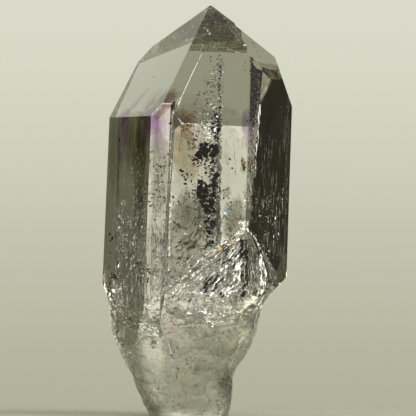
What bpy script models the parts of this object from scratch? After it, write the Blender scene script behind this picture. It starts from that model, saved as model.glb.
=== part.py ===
"""Phantom amethyst: one quartz crystal with a pointed end and a broken, tapered root.

The crystal is a single solid. Two intergrown columns, which share one long axis, make up
the pointed end: the left one carries the apex, and the right one stands forward of it by a
small growth step. Each column is a block cut down by the natural faces of quartz: six
upright prism faces, the rhombohedral faces that meet at the point, and small corner
faces. The lower third is a broken root, which narrows to the flat spot it rests on.

Metres, +Z up. The origin is the centre of the flat at the bottom. The front looks
towards -Y, and azimuth 0 is that front, counted towards +X.
"""
import math

import bmesh
import bpy
from mathutils import Matrix, Vector, noise

MM = 0.001

# ---- driving dimensions, in millimetres and degrees ----
APEX = (3.03, 2.70, 61.60)      # the point of the crystal above the middle of the flat
LEAN = 2.2                      # the long axis leans this far towards +X
BLOCK = 160.0                   # block that the faces are cut from

# Faces: azimuth of the face's outward direction, its tilt above level, and its distance
# from the point of the crystal, measured along the outward direction.
PRISM_FRONT_LEFT = (-59.3, 0.0, 13.23)
PRISM_BACK_LEFT = (-120.6, 0.4, 11.52)
PRISM_FRONT_OF_LEFT = (0.3, 0.0, 12.15)
PRISM_FRONT = (0.1, 0.0, 14.34)
PRISM_RIGHT = (60.3, 0.3, 12.60)
PRISM_BACK_RIGHT = (120.1, 0.3, 9.49)
PRISM_BACK = (179.8, -0.1, 8.27)
RHOMB_LEFT = (-60.7, 37.5, -0.04)
RHOMB_FRONT_OF_LEFT = (-0.1, 39.1, -0.12)
RHOMB_FRONT = (0.8, 37.9, 0.21)
RHOMB_BACK = (179.9, 37.7, 0.03)
RHOMB_BACK_RIGHT = (118.5, 38.8, -0.15)
RHOMB_BACK_RIGHT_OF_LEFT = (119.0, 40.1, 0.10)
RHOMB_BACK_LEFT = (-119.0, 35.1, 4.37)
STEP_RHOMB = (-59.3, 35.9, -0.98)      # sliver beside the growth step on the point
STEP_CORNER = (-30.6, 25.3, 5.11)      # small corner face under the sliver
STEP_SIDE = (-75.3, 1.3, 7.61)         # narrow upright side of the front growth step
BACK_STEP_SIDE = (70.6, 2.4, 4.11)     # upright side of the growth step at the back
LEFT_COLUMN_LIMIT = (30.0, 0.0, 7.90)  # where the left column ends inside the right one
CORNER_RIGHT = (91.2, 22.2, 6.23)      # corner face that makes the right shoulder

# Root: half widths to the left, right, front and back of its middle line, by height.
ROOT_LEVELS = (
    # height, middle x, left, right, front, back
    (-2.0, -0.20, 5.2, 5.4, 5.0, 4.2),
    (0.0, -0.20, 5.7, 5.9, 5.4, 4.6),
    (1.5, -0.40, 6.6, 6.6, 6.0, 5.2),
    (3.0, -0.70, 7.1, 7.0, 6.6, 5.8),
    (6.7, -1.00, 8.3, 8.0, 7.6, 6.6),
    (8.4, -1.00, 9.3, 8.9, 8.4, 7.2),
    (10.7, -1.00, 10.3, 10.4, 9.2, 7.8),
    (12.2, -1.00, 10.8, 10.8, 9.8, 8.2),
    (15.5, -1.00, 11.3, 11.3, 11.0, 9.0),
    (17.0, -1.00, 11.7, 12.4, 11.8, 9.6),
    (20.2, -1.00, 12.3, 15.0, 13.2, 10.8),
    (22.5, -1.00, 13.2, 16.8, 14.6, 12.0),
    (26.0, -1.00, 15.0, 19.0, 16.5, 14.0),
    (34.0, -1.00, 19.0, 22.0, 20.0, 18.0),
    (70.0, -1.00, 26.0, 28.0, 26.0, 24.0),
)
ROOT_SEGMENTS = 56
ROOT_RINGS = 34
ROOT_TOP = 26.0                 # above this height the root's envelope is clear of the faces
ROOT_ROUGH = 0.55               # depth of the breaks on the root


def clear_scene():
    for obj in list(bpy.data.objects):
        bpy.data.objects.remove(obj, do_unlink=True)


def outward(azimuth, tilt):
    a, t = math.radians(azimuth), math.radians(tilt)
    return Vector((math.sin(a) * math.cos(t), -math.cos(a) * math.cos(t), math.sin(t)))


def set_in(face, depth):
    """The same face, further in towards the middle of the crystal."""
    return (face[0], face[1], face[2] - depth)


def cut_column(name, faces):
    """A block cut down by every face, in the crystal's own axes, apex at the origin."""
    bm = bmesh.new()
    bmesh.ops.create_cube(bm, size=BLOCK * MM)
    bmesh.ops.translate(bm, verts=bm.verts, vec=Vector((0, 0, -BLOCK * MM / 2 + 5 * MM)))
    for azimuth, tilt, distance in faces:
        n = outward(azimuth, tilt)
        geom = bm.verts[:] + bm.edges[:] + bm.faces[:]
        res = bmesh.ops.bisect_plane(bm, geom=geom, dist=1e-7, plane_co=n * distance * MM,
                                     plane_no=n, clear_outer=True)
        rim = [e for e in res["geom_cut"] if isinstance(e, bmesh.types.BMEdge)]
        if rim:
            bmesh.ops.contextual_create(bm, geom=rim)
    bmesh.ops.recalc_face_normals(bm, faces=bm.faces)
    lean = Matrix.Rotation(math.radians(LEAN), 4, 'Y')
    bm.transform(Matrix.Translation(Vector(APEX) * MM) @ lean)
    mesh = bpy.data.meshes.new(name)
    bm.to_mesh(mesh)
    bm.free()
    return bpy.data.objects.new(name, mesh)


def level(z):
    """Half widths of the root at one height, blended between the levels."""
    rows = ROOT_LEVELS
    if z <= rows[0][0]:
        return rows[0][1:]
    for low, high in zip(rows, rows[1:]):
        if z <= high[0]:
            t = (z - low[0]) / (high[0] - low[0])
            return tuple(a + (b - a) * t for a, b in zip(low[1:], high[1:]))
    return rows[-1][1:]


def root_point(angle, z):
    """A point of the root's broken outside, in millimetres."""
    mid, left, right, front, back = level(z)
    c, s = math.cos(angle), math.sin(angle)
    a = right if c > 0 else left
    b = back if s > 0 else front
    power = 2.5
    r = (abs(c / a) ** power + abs(s / b) ** power) ** (-1 / power)
    p = Vector((r * c + mid, r * s, z))
    # flat-faced chips: a coarse cellular pattern over a soft swell
    fade = min(1.0, max(0.0, (ROOT_TOP + 6 - z) / 8)) * min(1.0, max(0.0, z / 3))
    q = Vector((p.x, p.y, p.z * 0.8)) / 3.4 + Vector((4.1, 7.7, 1.9))
    chip = noise.voronoi(q, distance_metric='DISTANCE')[0][0]
    swell = noise.noise(q * 0.45)
    r += fade * (ROOT_ROUGH * (swell * 1.2 + 0.45 - chip * 1.3))
    return Vector((r * c + mid, r * s, z))


def root_envelope(name):
    """A drum whose rings are moved out to the root's outside."""
    bm = bmesh.new()
    top = 70.0
    heights = [-2.0 + (ROOT_TOP + 8.0) * i / ROOT_RINGS for i in range(ROOT_RINGS + 1)] + [top]
    bmesh.ops.create_cone(bm, cap_ends=True, cap_tris=False, segments=ROOT_SEGMENTS,
                          radius1=1.0, radius2=1.0, depth=2.0)
    upright = [e for e in bm.edges if abs(e.verts[0].co.z - e.verts[1].co.z) > 1.0]
    bmesh.ops.subdivide_edges(bm, edges=upright, cuts=len(heights) - 2, use_grid_fill=True)
    span = len(heights) - 1
    for v in bm.verts:
        i = round((v.co.z + 1.0) / 2.0 * span)
        p = root_point(math.atan2(v.co.y, v.co.x), heights[i])
        v.co = p * MM
    bmesh.ops.recalc_face_normals(bm, faces=bm.faces)
    bmesh.ops.triangulate(bm, faces=[f for f in bm.faces if len(f.verts) == 4])
    mesh = bpy.data.meshes.new(name)
    bm.to_mesh(mesh)
    bm.free()
    return bpy.data.objects.new(name, mesh)


def flat_cutter(name):
    """The block under the flat that the crystal rests on."""
    bm = bmesh.new()
    bmesh.ops.create_cube(bm, size=60 * MM)
    bmesh.ops.translate(bm, verts=bm.verts, vec=Vector((0, 0, -30 * MM)))
    mesh = bpy.data.meshes.new(name)
    bm.to_mesh(mesh)
    bm.free()
    return bpy.data.objects.new(name, mesh)


def quartz_material():
    mat = bpy.data.materials.new("smoky_clear_quartz")
    mat.use_nodes = True
    bsdf = mat.node_tree.nodes["Principled BSDF"]
    bsdf.inputs["Base Color"].default_value = (0.42, 0.41, 0.35, 1)
    bsdf.inputs["Roughness"].default_value = 0.05
    bsdf.inputs["Metallic"].default_value = 0.0
    return mat


def add_boolean(obj, cutter, operation):
    mod = obj.modifiers.new(cutter.name, 'BOOLEAN')
    mod.operation = operation
    mod.solver = 'EXACT'
    mod.object = cutter


def main():
    clear_scene()
    model = bpy.data.collections.new("phantom_amethyst")
    tools = bpy.data.collections.new("cutters")
    for coll in (model, tools):
        bpy.context.scene.collection.children.link(coll)

    left_faces = [PRISM_FRONT_LEFT, PRISM_BACK_LEFT, PRISM_FRONT_OF_LEFT,
                  RHOMB_LEFT, RHOMB_FRONT_OF_LEFT, RHOMB_BACK_LEFT,
                  RHOMB_BACK_RIGHT_OF_LEFT, BACK_STEP_SIDE, LEFT_COLUMN_LIMIT,
                  set_in(PRISM_BACK_RIGHT, -0.08),
                  set_in(RHOMB_BACK, 0.03), set_in(PRISM_BACK, 0.05)]
    right_faces = [STEP_RHOMB, RHOMB_FRONT, STEP_CORNER, STEP_SIDE, PRISM_FRONT,
                   PRISM_RIGHT, CORNER_RIGHT, RHOMB_BACK_RIGHT, PRISM_BACK_RIGHT,
                   PRISM_BACK, RHOMB_BACK, set_in(PRISM_BACK_LEFT, 1.2),
                   set_in(RHOMB_BACK_LEFT, 1.2)]

    crystal = cut_column("crystal", left_faces)
    right = cut_column("right_column", right_faces)
    envelope = root_envelope("root_envelope")
    flat = flat_cutter("flat_cutter")

    model.objects.link(crystal)
    for cutter in (right, envelope, flat):
        tools.objects.link(cutter)
        cutter.hide_render = True
        cutter.display_type = 'WIRE'

    crystal.data.materials.append(quartz_material())
    add_boolean(crystal, right, 'UNION')
    add_boolean(crystal, envelope, 'INTERSECT')
    add_boolean(crystal, flat, 'DIFFERENCE')


main()
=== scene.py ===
"""Looks of the phantom amethyst: a smoky-clear quartz point with purple phantom zones,
inner fractures and dark inclusions, and a broken milky root.

Lengths in the tables and helper functions are millimetres in the part's frame: +Z up,
front towards -Y, origin at the middle of the flat. Azimuth 0 is the front face.
"""
import math
import random
import bmesh
import bpy
import numpy as np
from mathutils import Matrix, Vector, noise


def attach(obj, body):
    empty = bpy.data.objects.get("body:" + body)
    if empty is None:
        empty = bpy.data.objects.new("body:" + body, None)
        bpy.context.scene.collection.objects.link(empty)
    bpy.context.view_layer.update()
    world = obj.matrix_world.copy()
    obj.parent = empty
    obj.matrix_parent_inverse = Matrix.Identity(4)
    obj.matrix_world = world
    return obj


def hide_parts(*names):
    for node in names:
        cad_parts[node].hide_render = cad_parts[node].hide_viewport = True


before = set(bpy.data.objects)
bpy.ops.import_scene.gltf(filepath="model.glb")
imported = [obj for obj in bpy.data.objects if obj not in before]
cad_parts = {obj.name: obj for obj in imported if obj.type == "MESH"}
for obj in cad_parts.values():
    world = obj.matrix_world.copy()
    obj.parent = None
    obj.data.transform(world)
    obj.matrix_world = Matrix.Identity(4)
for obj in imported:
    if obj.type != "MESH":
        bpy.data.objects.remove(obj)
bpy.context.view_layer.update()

MM = 0.001
IOR = 1.544

# ------------------------------------------------------------------ the outer shape

APEX = (3.03, 2.70, 61.60)
LEAN = 2.2
BLOCK = 160.0

# azimuth of the outward direction, tilt above level, distance from the point
PRISM_FRONT_LEFT = (-59.3, 0.0, 13.23)
PRISM_BACK_LEFT = (-120.6, 0.4, 11.52)
PRISM_FRONT_OF_LEFT = (0.3, 0.0, 12.15)
PRISM_FRONT = (0.1, 0.0, 14.34)
PRISM_RIGHT = (60.3, 0.3, 12.60)
PRISM_BACK_RIGHT = (120.1, 0.3, 9.49)
PRISM_BACK = (179.8, -0.1, 8.27)
RHOMB_LEFT = (-60.7, 37.5, -0.04)
RHOMB_FRONT_OF_LEFT = (-0.1, 39.1, -0.12)
RHOMB_FRONT = (0.8, 37.9, 0.21)
RHOMB_BACK = (179.9, 37.7, 0.03)
RHOMB_BACK_RIGHT = (118.5, 38.8, -0.15)
RHOMB_BACK_RIGHT_OF_LEFT = (119.0, 40.1, 0.10)
RHOMB_BACK_LEFT = (-119.0, 35.1, 4.37)
STEP_RHOMB = (-59.3, 35.9, -0.98)
STEP_CORNER = (-30.6, 25.3, 5.11)
STEP_SIDE = (-75.3, 1.3, 7.61)
BACK_STEP_SIDE = (70.6, 2.4, 4.11)
LEFT_COLUMN_LIMIT = (30.0, 0.0, 7.90)
CORNER_RIGHT = (91.2, 22.2, 6.23)


def set_in(face, depth):
    return (face[0], face[1], face[2] - depth)


LEFT_FACES = [PRISM_FRONT_LEFT, PRISM_BACK_LEFT, PRISM_FRONT_OF_LEFT,
              RHOMB_LEFT, RHOMB_FRONT_OF_LEFT, RHOMB_BACK_LEFT,
              RHOMB_BACK_RIGHT_OF_LEFT, BACK_STEP_SIDE, LEFT_COLUMN_LIMIT,
              set_in(PRISM_BACK_RIGHT, -0.08),
              set_in(RHOMB_BACK, 0.03), set_in(PRISM_BACK, 0.05)]
RIGHT_FACES = [STEP_RHOMB, RHOMB_FRONT, STEP_CORNER, STEP_SIDE, PRISM_FRONT,
               PRISM_RIGHT, CORNER_RIGHT, RHOMB_BACK_RIGHT, PRISM_BACK_RIGHT,
               PRISM_BACK, RHOMB_BACK, set_in(PRISM_BACK_LEFT, 1.2),
               set_in(RHOMB_BACK_LEFT, 1.2)]

ROOT_LEVELS = (
    # height, middle x, half widths left, right, front, back
    (-2.0, -0.20, 5.2, 5.4, 5.0, 4.2),
    (0.0, -0.20, 5.7, 5.9, 5.4, 4.6),
    (1.5, -0.40, 6.6, 6.6, 6.0, 5.2),
    (3.0, -0.70, 7.1, 7.0, 6.6, 5.8),
    (6.7, -1.00, 8.3, 8.0, 7.6, 6.6),
    (8.4, -1.00, 9.3, 8.9, 8.4, 7.2),
    (10.7, -1.00, 10.3, 10.4, 9.2, 7.8),
    (12.2, -1.00, 10.8, 10.8, 9.8, 8.2),
    (15.5, -1.00, 11.3, 11.3, 11.0, 9.0),
    (17.0, -1.00, 11.7, 12.4, 11.8, 9.6),
    (20.2, -1.00, 12.3, 15.0, 13.2, 10.8),
    (22.5, -1.00, 13.9, 16.9, 14.8, 12.2),
    (26.0, -1.00, 15.0, 19.0, 16.5, 14.0),
    (34.0, -1.00, 19.0, 22.0, 20.0, 18.0),
    (70.0, -1.00, 26.0, 28.0, 26.0, 24.0),
)
ROOT_SEGMENTS = 264
ROOT_RINGS = 150
ROOT_TOP = 26.0
ROOT_ROUGH = 0.55


def outward(azimuth, tilt):
    a, t = math.radians(azimuth), math.radians(tilt)
    return Vector((math.sin(a) * math.cos(t), -math.cos(a) * math.cos(t), math.sin(t)))


def cut_column(name, faces):
    bm = bmesh.new()
    bmesh.ops.create_cube(bm, size=BLOCK * MM)
    bmesh.ops.translate(bm, verts=bm.verts, vec=Vector((0, 0, -BLOCK * MM / 2 + 5 * MM)))
    for azimuth, tilt, distance in faces:
        n = outward(azimuth, tilt)
        geom = bm.verts[:] + bm.edges[:] + bm.faces[:]
        res = bmesh.ops.bisect_plane(bm, geom=geom, dist=1e-7, plane_co=n * distance * MM,
                                     plane_no=n, clear_outer=True)
        rim = [e for e in res["geom_cut"] if isinstance(e, bmesh.types.BMEdge)]
        if rim:
            bmesh.ops.contextual_create(bm, geom=rim)
    bmesh.ops.recalc_face_normals(bm, faces=bm.faces)
    bm.transform(Matrix.Translation(Vector(APEX) * MM) @ Matrix.Rotation(math.radians(LEAN), 4, 'Y'))
    mesh = bpy.data.meshes.new(name)
    bm.to_mesh(mesh)
    bm.free()
    return bpy.data.objects.new(name, mesh)


def level(z):
    rows = ROOT_LEVELS
    if z <= rows[0][0]:
        return rows[0][1:]
    for low, high in zip(rows, rows[1:]):
        if z <= high[0]:
            t = (z - low[0]) / (high[0] - low[0])
            return tuple(a + (b - a) * t for a, b in zip(low[1:], high[1:]))
    return rows[-1][1:]


def smooth_level(z):
    """The same half widths with the corners between the levels rounded off."""
    rows = [level(z + d) for d in (-1.2, -0.6, 0.0, 0.6, 1.2)]
    return tuple(sum(k * row[i] for k, row in zip((1, 2, 3, 2, 1), rows)) / 9 for i in range(5))


def root_point(angle, z):
    """A point of the root's broken outside: the coarse breaks, then fine ledges and chips."""
    mid, left, right, front, back = smooth_level(z)
    c, s = math.cos(angle), math.sin(angle)
    a = right if c > 0 else left
    b = back if s > 0 else front
    power = 2.5
    r = (abs(c / a) ** power + abs(s / b) ** power) ** (-1 / power)
    p = Vector((r * c + mid, r * s, z))
    fade = min(1.0, max(0.0, (20.8 - z) / 4.5)) * min(1.0, max(0.0, z / 3))
    q = Vector((p.x, p.y, p.z * 0.8)) / 3.4 + Vector((4.1, 7.7, 1.9))
    chip = noise.voronoi(q, distance_metric='DISTANCE')[0][0]
    swell = noise.noise(q * 0.45)
    r += fade * (ROOT_ROUGH * (swell * 1.2 + 0.45 - chip * 1.3))
    # fine breakage: flat-faced ledges whose tilt changes from cell to cell, over ripples
    fine = min(1.0, max(0.06, (20.5 - z) / 4.5)) * min(1.0, max(0.15, z / 2))
    g = Vector((p.x * 1.1, p.y * 1.1, p.z * 0.62)) / 1.5 + Vector((2.3, 9.1, 5.5))
    dist, pts = noise.voronoi(g, distance_metric='DISTANCE')
    tilt = noise.cell_vector(pts[0] * 7.3)
    ledge = (g - pts[0]).dot(Vector(tilt) * 2.0 - Vector((1, 1, 1))) * 0.5
    ripple = noise.noise(Vector((p.x * 0.9, p.y * 0.9, p.z * 2.6)) * 0.9)
    grain = noise.fractal(p * 1.9, 0.8, 2.1, 3)
    r += fine * (-0.10 + 0.12 * ledge + 0.06 * ripple + 0.035 * grain)
    return Vector((r * c + mid, r * s, z))


def root_envelope(name):
    bm = bmesh.new()
    heights = [-2.0 + (ROOT_TOP + 8.0) * i / ROOT_RINGS for i in range(ROOT_RINGS + 1)] + [70.0]
    bmesh.ops.create_cone(bm, cap_ends=True, cap_tris=False, segments=ROOT_SEGMENTS,
                          radius1=1.0, radius2=1.0, depth=2.0)
    upright = [e for e in bm.edges if abs(e.verts[0].co.z - e.verts[1].co.z) > 1.0]
    bmesh.ops.subdivide_edges(bm, edges=upright, cuts=len(heights) - 2, use_grid_fill=True)
    span = len(heights) - 1
    for v in bm.verts:
        i = round((v.co.z + 1.0) / 2.0 * span)
        v.co = root_point(math.atan2(v.co.y, v.co.x), heights[i]) * MM
    bmesh.ops.recalc_face_normals(bm, faces=bm.faces)
    bmesh.ops.triangulate(bm, faces=[f for f in bm.faces if len(f.verts) == 4])
    mesh = bpy.data.meshes.new(name)
    bm.to_mesh(mesh)
    bm.free()
    return bpy.data.objects.new(name, mesh)


def flat_cutter(name):
    bm = bmesh.new()
    bmesh.ops.create_cube(bm, size=60 * MM)
    bmesh.ops.translate(bm, verts=bm.verts, vec=Vector((0, 0, -30 * MM)))
    mesh = bpy.data.meshes.new(name)
    bm.to_mesh(mesh)
    bm.free()
    return bpy.data.objects.new(name, mesh)


def link(obj):
    bpy.context.scene.collection.objects.link(obj)
    return obj


def make_crystal():
    body = link(cut_column("quartz_body", LEFT_FACES))
    cutters = [(link(cut_column("cut_right", RIGHT_FACES)), 'UNION'),
               (link(root_envelope("cut_root")), 'INTERSECT'),
               (link(flat_cutter("cut_flat")), 'DIFFERENCE')]
    for cutter, operation in cutters:
        mod = body.modifiers.new(cutter.name, 'BOOLEAN')
        mod.operation = operation
        mod.solver = 'EXACT'
        mod.object = cutter
    dg = bpy.context.evaluated_depsgraph_get()
    mesh = bpy.data.meshes.new_from_object(body.evaluated_get(dg))
    body.modifiers.clear()
    old = body.data
    body.data = mesh
    bpy.data.meshes.remove(old)
    for cutter, _ in cutters:
        data = cutter.data
        bpy.data.objects.remove(cutter, do_unlink=True)
        bpy.data.meshes.remove(data)
    mark_broken(mesh)
    return body


def mark_broken(mesh):
    """Faces that lie on no crystal face are broken surface: the root."""
    broken = mesh.attributes.new("broken", 'FLOAT', 'FACE')
    for i, poly in enumerate(mesh.polygons):
        n, c = np.array(poly.normal), np.array(poly.center) / MM
        flat = any(((normals @ n > 0.99999) & (np.abs(normals @ c - dist) < 0.01)).any() for normals, dist in HULLS)
        broken.data[i].value = 0.0 if flat else 1.0


# ------------------------------------------------------------------ materials

def new_material(name):
    mat = bpy.data.materials.new(name)
    mat.use_nodes = True
    nt = mat.node_tree
    return mat, nt, nt.nodes["Principled BSDF"], nt.nodes["Material Output"]


def quartz_material():
    mat, nt, bsdf, out = new_material("quartz_smoky_clear")
    N, L = nt.nodes.new, nt.links.new
    bsdf.inputs["Base Color"].default_value = (1, 1, 1, 1)
    bsdf.inputs["Transmission Weight"].default_value = 1.0
    bsdf.inputs["IOR"].default_value = IOR
    coord = N("ShaderNodeTexCoord")
    sep = N("ShaderNodeSeparateXYZ")
    L(coord.outputs["Object"], sep.inputs[0])
    # the broken faces, and how far down the root they are
    broken = N("ShaderNodeAttribute")
    broken.attribute_name = "broken"
    down = N("ShaderNodeMapRange")
    down.interpolation_type = 'SMOOTHSTEP'
    down.inputs["From Min"].default_value = 0.0212
    down.inputs["From Max"].default_value = 0.0150
    wob = N("ShaderNodeTexNoise")
    wob.inputs["Scale"].default_value = 260.0
    wob.inputs["Detail"].default_value = 3.0
    L(coord.outputs["Object"], wob.inputs["Vector"])
    addz = N("ShaderNodeMath")
    addz.operation = 'MULTIPLY_ADD'
    addz.inputs[1].default_value = 0.006
    L(wob.outputs["Fac"], addz.inputs[0])
    L(sep.outputs["Z"], addz.inputs[2])
    L(addz.outputs[0], down.inputs["Value"])
    worn = N("ShaderNodeMapRange")
    worn.interpolation_type = 'SMOOTHSTEP'
    worn.inputs["From Min"].default_value = 0.0205
    worn.inputs["From Max"].default_value = 0.0165
    L(addz.outputs[0], worn.inputs["Value"])
    either = N("ShaderNodeMath")
    either.operation = 'MAXIMUM'
    L(broken.outputs["Fac"], either.inputs[0])
    L(worn.outputs["Result"], either.inputs[1])
    root = N("ShaderNodeMath")
    root.operation = 'MULTIPLY'
    L(either.outputs[0], root.inputs[0])
    L(down.outputs["Result"], root.inputs[1])
    smear = N("ShaderNodeTexNoise")
    smear.inputs["Scale"].default_value = 420.0
    smear.inputs["Detail"].default_value = 5.0
    L(coord.outputs["Object"], smear.inputs["Vector"])
    rough_face = N("ShaderNodeMapRange")
    rough_face.inputs["From Min"].default_value = 0.45
    rough_face.inputs["From Max"].default_value = 0.75
    rough_face.inputs["To Min"].default_value = 0.012
    rough_face.inputs["To Max"].default_value = 0.02
    L(smear.outputs["Fac"], rough_face.inputs["Value"])
    rough_root = N("ShaderNodeMapRange")
    rough_root.inputs["From Min"].default_value = 0.35
    rough_root.inputs["From Max"].default_value = 0.7
    rough_root.inputs["To Min"].default_value = 0.17
    rough_root.inputs["To Max"].default_value = 0.36
    L(smear.outputs["Fac"], rough_root.inputs["Value"])
    half = N("ShaderNodeMath")
    half.operation = 'MULTIPLY'
    half.inputs[1].default_value = 0.2
    L(broken.outputs["Fac"], half.inputs[0])
    dull = N("ShaderNodeMath")
    dull.operation = 'MAXIMUM'
    L(half.outputs[0], dull.inputs[0])
    L(root.outputs[0], dull.inputs[1])
    rough = N("ShaderNodeMix")
    L(dull.outputs[0], rough.inputs["Factor"])
    L(rough_face.outputs["Result"], rough.inputs["A"])
    L(rough_root.outputs[0], rough.inputs["B"])
    L(rough.outputs["Result"], bsdf.inputs["Roughness"])
    # the broken root is a little duller
    tone = N("ShaderNodeMix")
    tone.data_type = 'RGBA'
    tone.inputs["A"].default_value = (1, 1, 1, 1)
    tone.inputs["B"].default_value = (0.875, 0.89, 0.815, 1)
    L(root.outputs[0], tone.inputs["Factor"])
    for socket in tone.inputs:
        if socket.type == 'RGBA' and socket.name == 'A':
            socket.default_value = (1, 1, 1, 1)
        if socket.type == 'RGBA' and socket.name == 'B':
            socket.default_value = (0.875, 0.89, 0.815, 1)
    L(tone.outputs[2], bsdf.inputs["Base Color"])
    # growth lines across the upright faces, and a soft unevenness
    stretch = N("ShaderNodeMapping")
    stretch.inputs["Scale"].default_value = (160.0, 160.0, 2600.0)
    L(coord.outputs["Object"], stretch.inputs["Vector"])
    lines = N("ShaderNodeTexNoise")
    lines.inputs["Scale"].default_value = 1.0
    lines.inputs["Detail"].default_value = 3.0
    L(stretch.outputs[0], lines.inputs["Vector"])
    soft = N("ShaderNodeTexNoise")
    soft.inputs["Scale"].default_value = 520.0
    soft.inputs["Detail"].default_value = 4.0
    L(coord.outputs["Object"], soft.inputs["Vector"])
    both = N("ShaderNodeMath")
    both.operation = 'MULTIPLY_ADD'
    both.inputs[1].default_value = 0.35
    L(lines.outputs["Fac"], both.inputs[0])
    L(soft.outputs["Fac"], both.inputs[2])
    amount = N("ShaderNodeMapRange")
    amount.inputs["To Min"].default_value = 0.006
    amount.inputs["To Max"].default_value = 0.5
    L(root.outputs[0], amount.inputs["Value"])
    bump = N("ShaderNodeBump")
    bump.inputs["Distance"].default_value = 0.0003
    L(amount.outputs["Result"], bump.inputs["Strength"])
    L(both.outputs[0], bump.inputs["Height"])
    L(bump.outputs["Normal"], bsdf.inputs["Normal"])
    absorb = N("ShaderNodeVolumeAbsorption")
    absorb.inputs["Color"].default_value = (0.63, 0.60, 0.43, 1)
    absorb.inputs["Density"].default_value = 22.0
    L(absorb.outputs[0], out.inputs["Volume"])
    return mat


# ------------------------------------------------------------------ inside the crystal

TURN = np.array([[math.cos(math.radians(LEAN)), 0, math.sin(math.radians(LEAN))],
                 [0, 1, 0],
                 [-math.sin(math.radians(LEAN)), 0, math.cos(math.radians(LEAN))]])
TIP = np.array(APEX)


def hull(faces):
    normals = np.array([TURN @ np.array(outward(a, t)) for a, t, _ in faces])
    return normals, np.array([d for _, _, d in faces]) + normals @ TIP


HULLS = (hull(LEFT_FACES), hull(RIGHT_FACES))


def part_xz(px, py):
    """The photo's frame, 416 pixels across, on the plane of the part: 0.15 mm a pixel."""
    return (px - 190.0) * 0.15, (415.5 - py) * 0.15


def sight(px, py):
    """Where a level line of sight enters the crystal, its bent direction, and how far it
    runs before it meets another face."""
    x, z = part_xz(px, py)
    start, ahead = np.array([x, -60.0, z]), np.array([0.0, 1.0, 0.0])
    best = None
    for normals, dist in HULLS:
        dn = normals @ ahead
        t = (dist - normals @ start) / np.where(np.abs(dn) < 1e-9, 1e-9, dn)
        t_in = np.where(dn < -1e-9, t, -1e9)
        t_out = np.where(dn > 1e-9, t, 1e9).min()
        k = int(t_in.argmax())
        if t_in[k] < t_out and (best is None or t_in[k] < best[0]):
            best = (t_in[k], normals[k])
    if best is None:
        return None
    t, n = best
    p = start + ahead * t
    c = -float(ahead @ n)
    d = ahead / IOR + (c / IOR - math.sqrt(1 - (1 - c * c) / IOR ** 2)) * n
    far = 0.0
    for normals, dist in HULLS:
        dn = normals @ d
        t_in = np.where(dn < -1e-9, (dist - normals @ p) / np.where(np.abs(dn) < 1e-9, 1e-9, dn), -1e9).max()
        t_out = np.where(dn > 1e-9, (dist - normals @ p) / np.where(np.abs(dn) < 1e-9, 1e-9, dn), 1e9).min()
        if t_in < t_out and t_in < far + 0.05:
            far = max(far, t_out)
    return p, d, far


def within(p, margin=0.25):
    """True if a point is inside the quartz by that margin."""
    if p[2] < margin:
        return False
    solid = any((normals @ p - dist < -margin).all() for normals, dist in HULLS)
    if not solid:
        return False
    if p[2] < ROOT_TOP + 5:
        mid, left, right, front, back = level(p[2])
        dx, dy = p[0] - mid, p[1]
        a = right if dx > 0 else left
        b = back if dy > 0 else front
        a, b = a - margin - 0.45, b - margin - 0.45
        return abs(dx / a) ** 2.5 + abs(dy / b) ** 2.5 < 1
    return True


def at(px, py, share, mm=None):
    """The point seen at a pixel of the photo, a share of the way through the crystal."""
    hit = sight(px, py)
    if hit is None:
        x, z = part_xz(px, py)
        return np.array([x, 0.0, z])
    p, d, far = hit
    return p + d * (mm if mm is not None else far * share)


def under_root(px, py, depth=0.4):
    """A point seen on the front of the root, that far under its surface."""
    x, z = part_xz(px, py)
    y = -13.0
    while y < 0 and not within(np.array([x, y, z]), max(0.0, depth)):
        y += 0.1
    return np.array([x, y, z])


def keep_inside(p, centre, margin, step=0.9):
    """Pull a point towards the centre of its zone until it is inside the quartz."""
    for _ in range(80):
        if within(p, margin):
            break
        p = centre + (p - centre) * step
    return p


def on_fan(px, py):
    """A point seen on the front sheet of the fan-shaped fracture."""
    x, z = part_xz(px, py)
    t = min(1.1, max(0.02, (28.5 - z) / 11.0))
    s = min(1.0, max(0.0, (x - 7.9 + 10.6 * t) / (9.6 * t)))
    return np.array([x, -10.3 + t * (3.3 * (1 - s) + 1.4 * s), z])


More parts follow.
